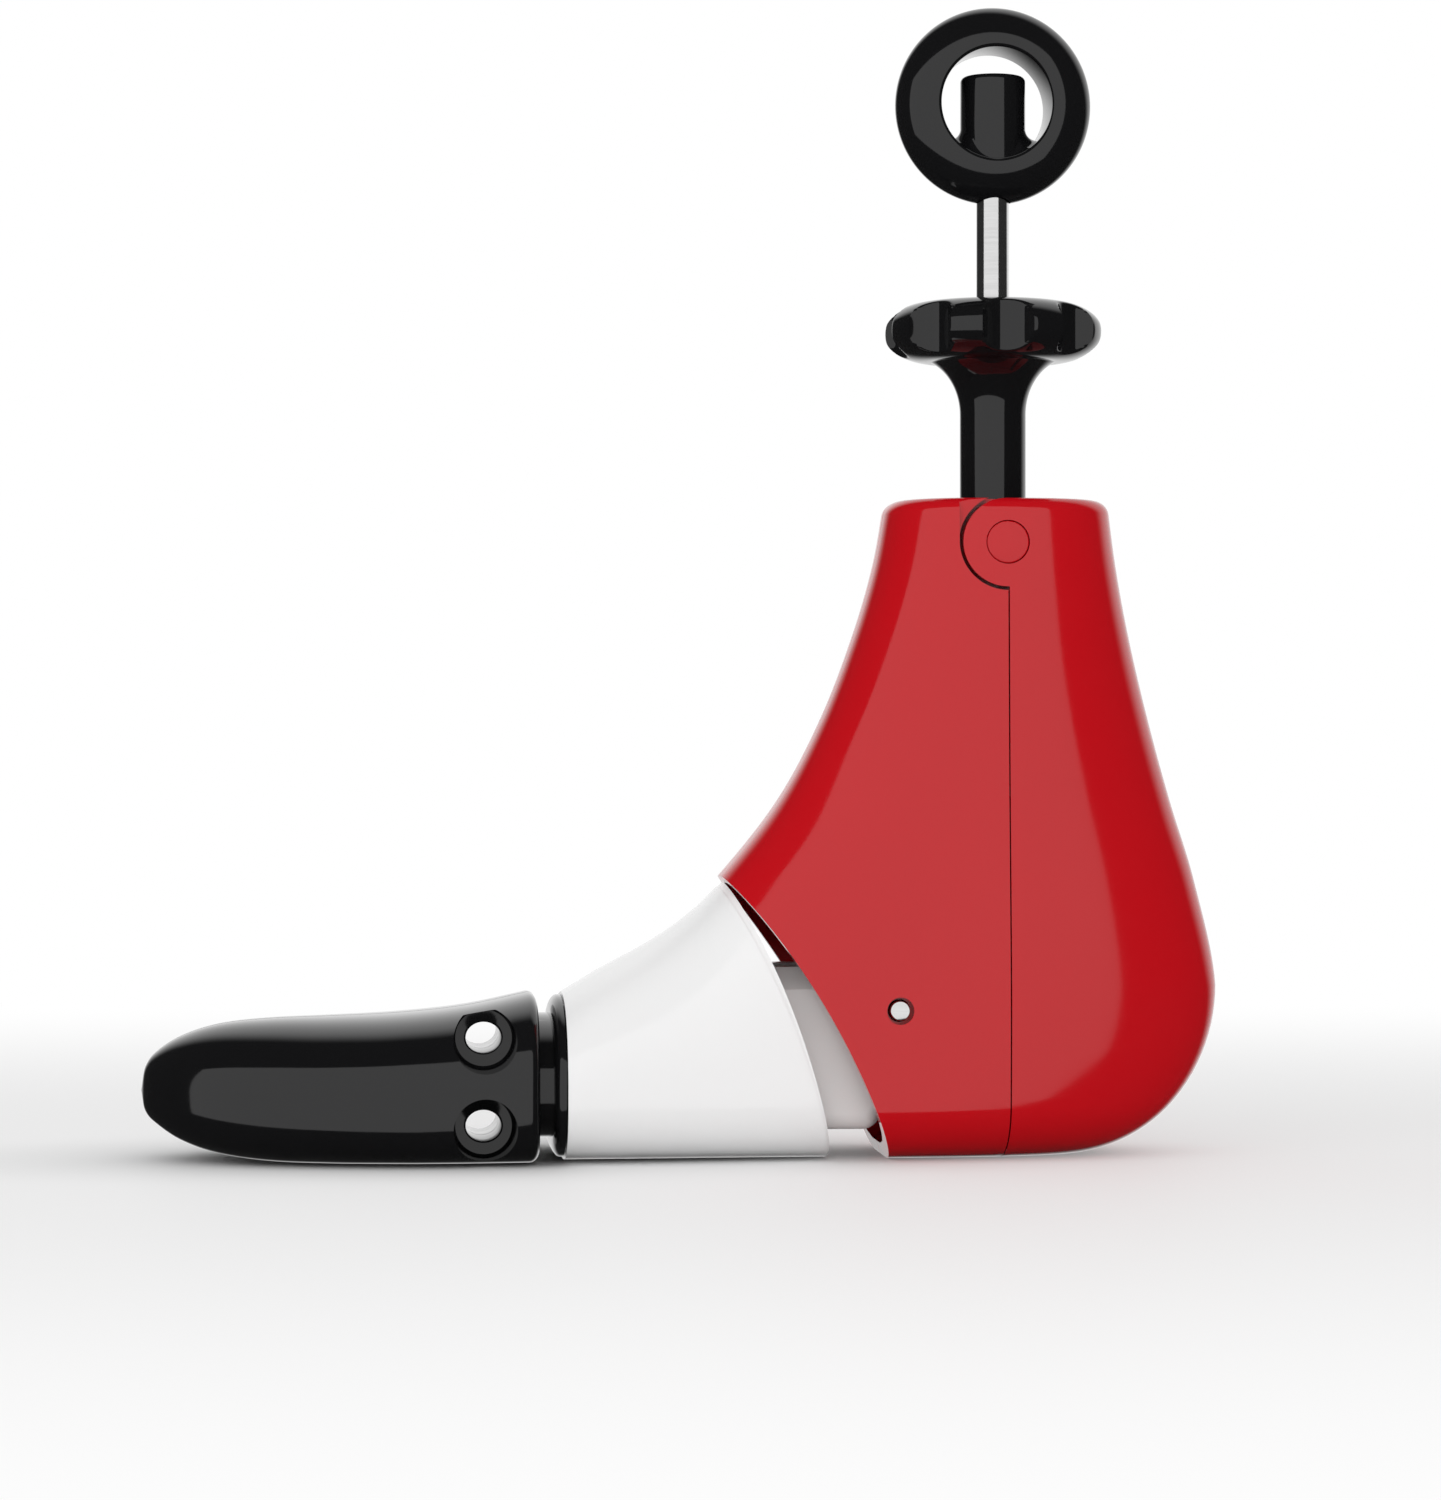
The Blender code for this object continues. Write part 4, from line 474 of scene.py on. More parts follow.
def extruded_form(name, sections):
    """A closed form: a disc that is extruded from section to section, each point moved to its place."""
    clear_selection()
    bpy.ops.mesh.primitive_circle_add(vertices=len(sections[0]), radius=0.01, fill_type="NGON")
    piece = added(name)
    bpy.ops.object.mode_set(mode="EDIT")
    shape = bmesh.from_edit_mesh(piece.data)
    place_of = shape.verts.layers.int.new("place")
    shape.verts.ensure_lookup_table()
    for index, vert in enumerate(shape.verts):
        vert[place_of] = index
    for number, section in enumerate(sections):
        if number:
            bpy.ops.mesh.extrude_region_move()
        shape = bmesh.from_edit_mesh(piece.data)
        place_of = shape.verts.layers.int["place"]
        for vert in shape.verts:
            if vert.select:
                vert.co = section[vert[place_of]]
        bmesh.update_edit_mesh(piece.data)
    bpy.ops.mesh.select_all(action="SELECT")
    bpy.ops.mesh.normals_make_consistent(inside=False)
    bpy.ops.object.mode_set(mode="OBJECT")
    piece.data.attributes.remove(piece.data.attributes["place"])
    return piece


def slab(name, outline, low, high):
    """An outline in the XZ plane as a block from one Y to another."""
    return extruded_form(name, [[(x, low, z) for x, z in outline], [(x, high, z) for x, z in outline]])


def box(name, low, high):
    clear_selection()
    bpy.ops.mesh.primitive_cube_add(size=1.0, location=[(a + b) / 2 for a, b in zip(low, high)])
    piece = added(name)
    piece.scale = [b - a for a, b in zip(low, high)]
    bpy.ops.object.transform_apply(location=True, rotation=True, scale=True)
    return piece


def bar(name, start, end, radius, vertices=64):
    """A round bar between two points."""
    clear_selection()
    start, end = Vector(start), Vector(end)
    turn = (end - start).to_track_quat("Z", "Y").to_euler()
    bpy.ops.mesh.primitive_cone_add(vertices=vertices, radius1=radius, radius2=radius, depth=(end - start).length,
                                    location=(start + end) / 2, rotation=turn)
    piece = added(name)
    bpy.ops.object.transform_apply(location=True, rotation=True, scale=True)
    return piece


def spun(name, profile, centre, axis, steps):
    """A profile of radius and height, spun about an axis through the centre."""
    clear_selection()
    axis = Vector(axis)
    turn = Vector((0.0, 0.0, 1.0)).rotation_difference(axis).to_matrix()
    bpy.ops.mesh.primitive_circle_add(vertices=len(profile), radius=0.01, fill_type="NOTHING")
    piece = added(name)
    for vert, (radius, height) in zip(piece.data.vertices, profile):
        vert.co = Vector(centre) + turn @ Vector((radius, 0.0, height))
    bpy.ops.object.mode_set(mode="EDIT")
    bpy.ops.mesh.select_all(action="SELECT")
    bpy.ops.mesh.spin(steps=steps, angle=tau, center=centre, axis=axis)
    bpy.ops.mesh.select_all(action="SELECT")
    bpy.ops.mesh.remove_doubles(threshold=0.002 * MM)
    bpy.ops.mesh.dissolve_degenerate(threshold=0.001 * MM)
    bpy.ops.mesh.normals_make_consistent(inside=False)
    bpy.ops.object.mode_set(mode="OBJECT")
    return piece


def select_only(piece):
    clear_selection()
    bpy.context.view_layer.objects.active = piece
    piece.select_set(True)


def apply_modifier(piece, modifier):
    select_only(piece)
    bpy.ops.object.modifier_apply(modifier=modifier.name)


def combine(piece, tool, operation):
    """Cuts, joins or trims a piece with a tool body, and removes the tool."""
    modifier = piece.modifiers.new("shape", "BOOLEAN")
    modifier.operation = operation
    modifier.solver = "EXACT"
    modifier.object = tool
    apply_modifier(piece, modifier)
    bpy.data.objects.remove(tool, do_unlink=True)


def cut(piece, *tools):
    for tool in tools:
        combine(piece, tool, "DIFFERENCE")


def join(piece, *tools):
    for tool in tools:
        combine(piece, tool, "UNION")


def trim(piece, tool):
    combine(piece, tool, "INTERSECT")


def twin(piece, name):
    select_only(piece)
    bpy.ops.object.duplicate()
    return added(name)


def put_finish(node, piece):
    piece.data.materials.clear()
    piece.data.materials.append(FINISH_OF_SLOT[SLOT_OF[node]])
    select_only(piece)
    bpy.ops.object.shade_smooth_by_angle(angle=SMOOTH_ANGLE)


def stand_in(node, piece):
    """The piece takes a node's place, body, material slot and finish."""
    put_finish(node, piece)
    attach(piece, BODY_OF[node])
    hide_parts(node)


# Ankle and heel block

def front_region():
    """What belongs to the front block: ahead of the seam, round the knuckle, with its tower and shelf."""
    knuckle = KNUCKLE_R + KNUCKLE_GROOVE
    edge = bowed_line(CUT_TOP, CUT_FOOT, CUT_BOW, 0.15)
    outline = [(-REACH, BLOCK_TOP + REACH), (-REACH, edge[0][1] + EPS)] + edge
    outline += [(edge[-1][0], -REACH), (STEM_X, -REACH)]
    outline += arc((STEM_X, HINGE_Z), knuckle, radians(270.0), radians(180.0), 32)
    outline += [(STEM_X - knuckle, BLOCK_TOP + REACH)]
    region = slab("front_region", outline, -REACH, REACH)
    corner = [(STEM_X - knuckle - EPS, BLOCK_TOP + REACH), (STEM_X - knuckle - EPS, HINGE_Z)]
    corner += arc((STEM_X, HINGE_Z), knuckle, radians(180.0), radians(100.0), 28)
    corner.append((corner[-1][0], BLOCK_TOP + REACH))
    deep = block_section(HINGE_Z)[2] - CORNER_SUNK
    join(region, slab("corner_region", corner, -deep, deep),
         box("tower_region", (STEM_X - knuckle - 2 * EPS, -TOWER_HALF_Y, TOWER_FOOT_Z - EPS),
             (STEM_X + TOWER_BACK, TOWER_HALF_Y, BLOCK_TOP + EPS)),
         shelf_box(SHELF_HALF_Y, EPS))
    return region


def shelf_box(half_width, grow=0.0):
    return box("bearing_shelf", (STEM_X - SHELF_FRONT, -half_width, SHELF_FOOT - grow),
               (STEM_X + SHELF_BACK + grow, half_width, SHELF_TOP + grow))


def ankle_core():
    """The hollow of the front block, less the walls, pillars and lugs that stand in it."""
    core = extruded_form("ankle_core", block_hollow_rings(96))
    knuckle = KNUCKLE_R + GAP + BLOCK_WALL
    cut(core,
        box("tower", (STEM_X - TOWER_FRONT, -TOWER_HALF_Y - EPS, TOWER_FOOT_Z),
            (STEM_X + TOWER_BACK + EPS, TOWER_HALF_Y + EPS, BLOCK_TOP)),
        box("knuckle_seat", (STEM_X - knuckle, -REACH, HINGE_Z - knuckle), (STEM_X + EPS, REACH, BLOCK_TOP)),
        shelf_box(REACH))
    for x, z in SHELL_SCREWS:
        cut(core, across("screw_pillar", x, z, -PILLAR_HALF, PILLAR_HALF, PILLAR_R, 40))
    for side in (-1, 1):
        cut(core, across("ankle_boss", ANKLE_X, ANKLE_Z, side * (TONGUE_HALF_Y + GAP), side * REACH, ANKLE_BOSS_R))
        low, high = between(side, SPRING_LUG_Y, SPRING_LUG_Y + SPRING_LUG_THICK)
        cut(core, box("spring_lug", (SPRING_PIN_X - SPRING_LUG_HALF, low, 0.0),
                      (SPRING_PIN_X + SPRING_LUG_HALF, high, SPRING_Z + SPRING_LUG_HALF)))
    return core


def ankle_side_y():
    """Half width of the block's surface at the ankle pin."""
    front, back, half_width = block_section(ANKLE_Z)
    share = abs(2.0 * (ANKLE_X - front) / (back - front) - 1.0)
    power = block_power(ANKLE_Z)
    return half_width * (1.0 - share ** power) ** (1.0 / power)


def upright(name, low, high, radius, vertices=64):
    return bar(name, (STEM_X, 0.0, low), (STEM_X, 0.0, high), radius, vertices)


def lengthwise(name, start, end, radius, vertices=64):
    return bar(name, (start, 0.0, SCREW_Z), (end, 0.0, SCREW_Z), radius, vertices)


def toe_pivot(side, top):
    x, y = TOE_PIVOT_X, side * TOE_PIVOT_Y
    return bar("pivot_hole", (x, y, -EPS), (x, y, top), TOE_PIN_R + GAP, 32)


def across(name, x, z, start, end, radius, vertices=48):
    return bar(name, (x, start, z), (x, end, z), radius, vertices)


def front_block_half(name, side, core, region):
    """One half of the red front block."""
    shell = extruded_form(name, block_rings(BLOCK_COLUMNS))
    low, high = between(side, PART_LINE, REACH)
    cut(shell, twin(core, "hollow"))
    trim(shell, twin(region, "region"))
    trim(shell, box("half", (-REACH, low, -REACH), (REACH, high, REACH)))
    nut = [[(STEM_X + (NUT_HEX_R + GAP) * cos(angle), (NUT_HEX_R + GAP) * sin(angle), z) for angle in bearings(6)]
           for z in (NUT_FOOT - GAP, NUT_TOP + GAP)]
    far = side * REACH
    cut(shell, extruded_form("nut_room", nut),
        upright("roof_hole", NUT_TOP, BLOCK_TOP + EPS, NUT_ROOF_HOLE_R, 96),
        upright("stem_way", TOWER_FOOT_Z - EPS, NUT_FOOT, STEM_WAY_R),
        upright("bearing_way", SHELF_FOOT - 2 * EPS, SHELF_TOP + 2 * EPS, BEARING_R + GAP),
        across("ankle_hole", ANKLE_X, ANKLE_Z, side * ANKLE_HOLE_INNER_Y, far, ANKLE_PIN_R + GAP),
        across("ankle_mouth", ANKLE_X, ANKLE_Z, side * (ankle_side_y() - ANKLE_HOLE_DEEP), far, ANKLE_HOLE_R),
        across("pin_hole", STEM_X, HINGE_Z, side * (TOWER_HALF_Y - HINGE_PIN_IN - GAP),
               side * (TOWER_HALF_Y + EPS), HINGE_PIN_R + GAP),
        across("spring_pin_hole", SPRING_PIN_X, SPRING_Z, 0.0, side * (SPRING_PIN_HALF + GAP), SPRING_PIN_R + GAP))
    for x, z in SHELL_SCREWS:
        start, end = (SCREW_HOLE_END, EPS) if side < 0 else (-EPS, SCREW_SEAT_Y + EPS)
        cut(shell, across("screw_hole", x, z, start, end, SHELL_SCREW_R + GAP, 32))
        if side > 0:
            cut(shell, across("screw_mouth", x, z, SCREW_SEAT_Y, far, SCREW_HEAD_R + GAP, 32))
    return shell


def heel_block():
    """The red rear block with its two ears, its two ramps and its spring lug."""
    shell = extruded_form("heel_cover", block_rings(BLOCK_COLUMNS))
    core = extruded_form("heel_core", block_hollow_rings(96))
    knuckle = KNUCKLE_R + EPS
    for side in (-1, 1):
        low, high = between(side, TOWER_HALF_Y + GAP, REACH)
        cut(core, box("ear", (STEM_X - knuckle, low, HINGE_Z - knuckle),
                      (STEM_X + knuckle + BLOCK_WALL, high, BLOCK_TOP)))
    ramp = ramp_points()
    rib = [(ramp[0][0] + EPS, ramp[0][1] + SPREADER_HIGH)] + ramp
    rib += [(ramp[-1][0], ramp[-1][1] - RIB_FOOT), (HEEL_X, ramp[-1][1] - RIB_REAR_FOOT),
            (HEEL_X, ramp[0][1] + 2.0 * SPREADER_HIGH)]
    for side in (-1, 1):
        low, high = between(side, RAMP_SLOT, RAMP_HALF_Y)
        cut(core, slab("ramp", rib, low, high))
    cut(core, box("spring_lug", (HEEL_LUG_X, -HEEL_LUG_HALF, 0.0),
                  (HEEL_LUG_X + HEEL_LUG_LONG, HEEL_LUG_HALF, HEEL_LUG_TOP)))
    cut(shell, core)
    outline = [(STEM_X + GAP, -REACH), (HEEL_X + REACH, -REACH), (HEEL_X + REACH, BLOCK_TOP + REACH),
               (STEM_X, BLOCK_TOP + REACH)]
    outline += arc((STEM_X, HINGE_Z), KNUCKLE_R, QUARTER, KNUCKLE_END, 56)
    trim(shell, slab("rear_region", outline, -REACH, REACH))
    cut(shell,
        box("tower_notch", (STEM_X - REACH, -TOWER_HALF_Y - GAP, HINGE_Z - 2.0 * KNUCKLE_R),
            (STEM_X + TOWER_BACK + TOWER_SWING_ROOM, TOWER_HALF_Y + GAP, BLOCK_TOP + REACH)),
        across("pin_hole", STEM_X, HINGE_Z, -REACH, REACH, HINGE_PIN_R + PIN_RING, 72))
    return shell


def ramp_points():
    """The heel's ramps: the spreader's rim at each step of its travel, seen from the swinging heel."""
    points = []
    touch = sqrt(SPREADER_R ** 2 - RAMP_SLOT ** 2) + RAMP_CLEAR
    for step in range(25):
        share = step / 24
        angle = HEEL_SWING * share
        z = SPREADER_Z - STEM_TRAVEL * share - HINGE_Z
        points.append((STEM_X + touch * cos(angle) + z * sin(angle), HINGE_Z - touch * sin(angle) + z * cos(angle)))
    return points


# Forefoot

def midfoot_cover():
    """The white shell between toe and ankle, open at both ends, with a fine step along its rim."""
    back = FORE_ROWS[-1][0]
    places = [FORE_FRONT_X + (back - FORE_FRONT_X) * i / 60 for i in range(61)]
    shell = extruded_form("midfoot_cover", [fore_ring(x, 0.0, FORE_COLUMNS) for x in places])
    inner = [FORE_FRONT_X - EPS] + places[1:-1:2] + [back + EPS]
    cut(shell, extruded_form("midfoot_hollow", [fore_ring(x, FORE_WALL, FORE_COLUMNS) for x in inner]))
    cut(shell, rim_region("rim_cut", RIM_TOP, RIM_FOOT))
    skin = rim_region("lip_skin", LIP_TOP, LIP_FOOT)
    cut(skin, extruded_form("lip_ground", [fore_ring(x, LIP_DEEP, FORE_COLUMNS) for x in places]))
    cut(shell, skin)
    return shell


def rim_region(name, top, foot):
    """Everything behind the rim's line."""
    edge = bowed_line(top, foot, RIM_BOW, 0.2)
    return slab(name, edge + [(edge[-1][0], -REACH), (REACH, -REACH), (REACH, REACH), (edge[0][0], REACH)],
                -REACH, REACH)


def tongue_outline(inset):
    """Side view of the tongue: a bar that ends in an eye round the ankle pivot."""
    corner = arc((TONGUE_BACK_X - TONGUE_ROUND, TONGUE_FOOT + TONGUE_ROUND), TONGUE_ROUND - inset,
                 -QUARTER, radians(-20.0), 10)
    eye = arc((ANKLE_X, ANKLE_Z), TONGUE_EYE_R - inset, radians(-35.0), QUARTER, 24)
    front = TONGUE_COLLAR_DEEP / 2
    return [(front, TONGUE_FOOT + inset)] + corner + eye + [(front, ANKLE_Z + TONGUE_EYE_R - inset)]


def tongue_bar():
    """The pale bar that carries the forefoot on the ankle pins, with its collar inside the shell."""
    sections = []
    for step in range(9):
        angle = QUARTER * (1.0 - step / 8)
        inset = TONGUE_EDGE * (1.0 - cos(angle))
        y = TONGUE_HALF_Y - TONGUE_EDGE * (1.0 - sin(angle))
        sections.append([(x, -y, z) for x, z in tongue_outline(inset)])
    sections += [[(x, -y, z) for x, y, z in ring] for ring in reversed(sections)]
    tongue = extruded_form("tongue_bar", sections)
    inset = FORE_WALL + GAP
    join(tongue, extruded_form("tongue_collar", [
        fore_ring(x, inset, 96) for x in (0.0, TONGUE_COLLAR_DEEP / 2, TONGUE_COLLAR_DEEP)]))
    cut(tongue,
        box("slot", (TONGUE_SLOT_FRONT, -TONGUE_SLOT_HALF, TONGUE_SLOT_FOOT), (REACH, TONGUE_SLOT_HALF, REACH)),
        across("pin_way", ANKLE_X, ANKLE_Z, -REACH, REACH, ANKLE_PIN_R + GAP),
        lengthwise("screw_way", -EPS, TONGUE_SLOT_FRONT + EPS, SCREW_CORE_R + GAP))
    lean = TONGUE_HALF_Y - TONGUE_SLOPE * (REACH - TONGUE_SLOPE_FOOT)
    for side in (-1, 1):
        low, high = between(side, WINDOW_INNER_Y, REACH)
        cut(tongue, extruded_form("slope", [
            [(x, side * y, z) for y, z in ((TONGUE_HALF_Y, TONGUE_SLOPE_FOOT), (REACH, TONGUE_SLOPE_FOOT),
                                           (REACH, REACH), (lean, REACH))]
            for x in (TONGUE_COLLAR_DEEP + EPS, REACH)]))
        cut(tongue, box("window", (-EPS, low, WINDOW_FOOT), (TONGUE_COLLAR_DEEP + EPS, high, WINDOW_TOP)))
    return tongue


def neck_ring(x, grow, count):
    return upright_ring(x, NECK_TOP + grow, NECK_FOOT - grow, NECK_HALF_Y + grow, FORE_WAIST_Z, count, FORE_POWERS)


def bulkhead():
    """The black plate that closes the midfoot shell, with its skirt, its domed face, its neck and its lug."""
    inset = FORE_WALL + GAP
    face = FORE_FRONT_X - GAP
    count = FORE_COLUMNS
    sections = [fore_ring(FORE_FRONT_X + SKIRT_DEEP, inset, count),
                [(face, y, z) for _, y, z in fore_ring(FORE_FRONT_X, inset, count)],
                [(face, y, z) for _, y, z in fore_ring(FORE_FRONT_X, DOME_LIP, count)],
                [(face - DOME_LIP, y, z) for _, y, z in fore_ring(FORE_FRONT_X, DOME_LIP, count)]]
    rim, neck = sections[-1], neck_ring(face - DOME_HIGH, 0.0, count)
    for step in range(1, 9):
        share = step / 8
        rise = sin(QUARTER * share)
        spread = 1.0 - cos(QUARTER * share)
        sections.append([(face - DOME_LIP - (DOME_HIGH - DOME_LIP) * rise,
                          a[1] + (b[1] - a[1]) * spread, a[2] + (b[2] - a[2]) * spread) for a, b in zip(rim, neck)])
    sections.append(neck_ring(NECK_FRONT_X, 0.0, count))
    plate = extruded_form("bulkhead", sections)
    cut(plate, extruded_form("skirt_hollow", [
        fore_ring(FORE_FRONT_X + SKIRT_DEEP + EPS, inset + SKIRT_WALL, count),
        fore_ring(FORE_FRONT_X + SKIRT_FLOOR, inset + SKIRT_WALL, count)]))
    join(plate, box("lug", (LUG_FRONT_X, -LUG_HALF_Y, NECK_FOOT + EPS),
                    (NECK_FRONT_X + EPS, LUG_HALF_Y, NECK_TOP - EPS)))
    cut(plate, toe_pivot(-1, REACH), toe_pivot(1, REACH),
        lengthwise("screw_way", LUG_FRONT_X - EPS, FORE_FRONT_X + SKIRT_DEEP, SCREW_CORE_R + GAP, 48))
    return plate


# Toe

def toe_sections(count):
    """The toe's outside form, from the tip to the rounded back edge."""
    length = TOE_BACK_X - TOE_BACK_ROUND - TOE_TIP_X
    sections = [toe_ring(TOE_TIP_X + length * (i / 56) ** 2.2, 0.0, count) for i in range(1, 57)]
    for step in range(1, 9):
        angle = QUARTER * step / 8
        sections.append(toe_ring(TOE_BACK_X - TOE_BACK_ROUND * (1.0 - sin(angle)),
                                 TOE_BACK_ROUND * (1.0 - cos(angle)), count))
    return sections


def plug_hole(side, z):
    """A hole across the toe half with a deep round seat for a plug."""
    rows = [(PLUG_R, PLUG_FLAT, -EPS), (PLUG_R, PLUG_FLAT, PLUG_SEAT_Y - PLUG_LIP)]
    for step in range(1, 5):
        tilt = QUARTER * step / 4
        rows.append((PLUG_R + PLUG_LIP * (1.0 - cos(tilt)), PLUG_FLAT, PLUG_SEAT_Y - PLUG_LIP * (1.0 - sin(tilt))))
    rows += [(PLUG_SEAT_R - PLUG_LIP, 1.0, PLUG_SEAT_Y + PLUG_DISH),
             (PLUG_SEAT_R, 1.0, PLUG_SEAT_Y + PLUG_DISH + PLUG_LIP),
             (PLUG_SEAT_R + PLUG_DISH, 1.0, TOE_ROWS[-2][3] + EPS)]
    return extruded_form("plug_hole", [
        [(PLUG_X + radius * cos(angle), side * y, z + radius * flat * sin(angle)) for angle in bearings(64)]
        for radius, flat, y in rows])


def toe_hollow(side):
    """The hollow ahead of the plug holes, less the ridge and the spring post that stand in it."""
    span = TOE_HOLLOW_BACK - TOE_HOLLOW_FRONT
    core = extruded_form("toe_core", [toe_ring(TOE_HOLLOW_FRONT + span * i / 18, TOE_WALL, 64) for i in range(19)])
    far = side * REACH
    ridge = [(RIDGE_X - RIDGE_HALF_X, far),
             (RIDGE_X - RIDGE_HALF_X, side * (RIDGE_Y + RIDGE_HALF_X * RIDGE_SLOPES[0])),
             (RIDGE_X, side * RIDGE_Y), (RIDGE_X + RIDGE_HALF_X, side * (RIDGE_Y + RIDGE_HALF_X * RIDGE_SLOPES[1])),
             (RIDGE_X + RIDGE_HALF_X, far)]
    cut(core, extruded_form("ridge", [[(x, y, z) for x, y in ridge] for z in (-REACH, REACH)]))
    low, high = between(side, TOE_SPRING_HALF + GAP, TOE_POST_END)
    cut(core, box("spring_post", (TOE_SPRING_X - TOE_POST_HALF, low, TOE_SPRING_Z - TOE_SPRING_R - EPS),
                  (TOE_SPRING_X + TOE_POST_HALF, high, REACH)))
    return core


def toe_cover(name, side):
    """One swinging half of the black toe."""
    half = extruded_form(name, toe_sections(TOE_COLUMNS))
    low, high = between(side, TOE_PART, REACH)
    cut(half, toe_hollow(side))
    trim(half, box("half", (-REACH, low, -REACH), (REACH, high, REACH)))
    cut(half,
        extruded_form("neck_pocket", [neck_ring(x, POCKET_CLEAR, 96) for x in (POCKET_FRONT_X, TOE_BACK_X + EPS)]),
        box("lug_room", (LUG_FRONT_X - LUG_ROOM, -LUG_HALF_Y - LUG_ROOM, NECK_FOOT),
            (NECK_FRONT_X, LUG_HALF_Y + LUG_ROOM, NECK_TOP)),
        lengthwise("screw_channel", TOE_HOLLOW_BACK - EPS, TOE_BACK_X, SCREW_CHANNEL_R),
        lengthwise("clip_room", LUG_FRONT_X - CLIP_ROOM_LONG, TOE_BACK_X, CLIP_ROOM_R),
        toe_pivot(side, TOE_PIN_TOP + GAP))
    for z in PLUG_ZS:
        cut(half, plug_hole(side, z))
    return half


# Star knob, ring and rod

def softer_of(a, b, soft):
    """The lower of two values, rounded where they meet."""
    near = max(0.0, soft - abs(a - b)) / soft
    return min(a, b) - near ** 2 * soft / 4


def scoop_wall(angle):
    """How far out the upright wall of the nearest scoop stands at a bearing."""
    pitch = tau / STAR_LOBES
    turn = abs((angle - STAR_TURN + pitch / 2) % pitch - pitch / 2)
    edge = asin(SCOOP_R / SCOOP_AWAY)
    if turn < edge:
        return SCOOP_AWAY * cos(turn) - sqrt(SCOOP_R ** 2 - (SCOOP_AWAY * sin(turn)) ** 2)
    return SCOOP_AWAY * cos(edge) + 3.0 * SCOOP_AWAY * (turn - edge)


def star_ring(tilt, columns):
    """A level ring of the head, at a tilt of its round rim, with the scoops taken out."""
    middle = (STAR_TOP - STAR_DOME + STAR_FOOT) / 2
    half = (STAR_TOP - STAR_DOME - STAR_FOOT) / 2
    rim = STAR_R - STAR_RIM + STAR_RIM * cos(tilt)
    ring = []
    for turn in bearings(columns):
        angle = STAR_TURN + turn
        wall = softer_of(STAR_R, scoop_wall(angle), STAR_EDGE)
        radius = softer_of(rim, wall, STAR_EDGE / 2)
        ring.append((STEM_X + radius * cos(angle), radius * sin(angle), middle + half * sin(tilt)))
    return ring


def star_head():
    """The head: a lens with a round rim and eight finger scoops."""
    columns = STAR_LOBES * 36
    sections = [star_ring(radians(-90.0 + 180.0 * step / 84), columns) for step in range(85)]
    share = 2.0 * ROD_R / (STAR_R - STAR_RIM)
    sections.append([(STEM_X + (x - STEM_X) * share, y * share, STAR_TOP) for x, y, _ in sections[-1]])
    return extruded_form("star_handle", sections)


def thread_swell(height, angle, lead, low, high):
    """How far a round thread stands out, from 0 to 1, fading out at both ends."""
    fade = min(1.0, max(0.0, (height - low) / (lead / 2)), max(0.0, (high - height) / (lead / 2)))
    return fade * (0.5 + 0.5 * cos(tau * height / lead - angle))


def stem_sections(count):
    """The hollow stem from its foot to the flare under the head, with its round thread."""
    radii = [(NECK_R, STEM_FOOT), (NECK_R, STEM_SHOULDER), (STEM_R, STEM_SHOULDER)]
    rows = round((STEM_THREAD_TOP - STEM_THREAD_FOOT) / STEM_LEAD * 12)
    radii += [(STEM_R, STEM_THREAD_FOOT + (STEM_THREAD_TOP - STEM_THREAD_FOOT) * i / rows) for i in range(rows + 1)]
    for step in range(29):
        tilt = QUARTER * step / 28
        radii.append((STEM_R + FLARE_WIDE * (1.0 - cos(tilt)), FLARE_FOOT + (FLARE_TOP - FLARE_FOOT) * sin(tilt)))
    radii.append((STEM_R + FLARE_WIDE, FLARE_TOP + FLARE_IN))
    sections = []
    for radius, height in radii:
        ring = []
        for angle in bearings(count):
            grown = radius
            if radius == STEM_R:
                grown += THREAD_DEPTH * thread_swell(height, angle, STEM_LEAD, STEM_THREAD_FOOT, STEM_THREAD_TOP)
            ring.append((STEM_X + grown * cos(angle), grown * sin(angle), height))
        sections.append(ring)
    return sections


def star_handle():
    """The lobed head on its flare and hollow stem."""
    knob = star_head()
    join(knob, extruded_form("stem", stem_sections(72)))
    cut(knob, upright("stem_bore", STEM_FOOT - EPS, STAR_TOP + EPS, STEM_BORE_R, 72))
    return knob


def finger_ring():
    """The ring with a flat bore and a rounded outside, and the boss that the rod ends in."""
    inner, half = RING_HOLE_R + RING_CORNER, RING_DEEP / 2
    profile = arc((inner, half - RING_CORNER), RING_CORNER, radians(180.0), QUARTER, 8)
    for step in range(1, 49):
        angle = radians(90.0 - 180.0 * step / 48)
        profile.append((inner + (RING_R - inner) * abs(cos(angle)), half * sin(angle)))
    profile += arc((inner, RING_CORNER - half), RING_CORNER, radians(270.0), radians(180.0), 8)[1:]
    ring = spun("ring_body", profile, (STEM_X, 0.0, RING_Z), (0.0, -1.0, 0.0), 144)
    foot = RING_Z - RING_HOLE_R - BOSS_ROOT
    outline = [(0.0, BOSS_TOP)]
    outline += arc((BOSS_R - BOSS_ROUND, BOSS_TOP - BOSS_ROUND - BOSS_DOME), BOSS_ROUND, QUARTER, 0.0, 8)
    outline += [(BOSS_R, foot), (0.0, foot)]
    handle = spun("finger_ring", outline, (STEM_X, 0.0, 0.0), (0.0, 0.0, 1.0), 96)
    join(handle, ring, boss_fillet())
    cut(handle, upright("ring_bore", RING_Z - RING_R - EPS, ROD_TOP + GAP, ROD_R + GAP, 72))
    return handle


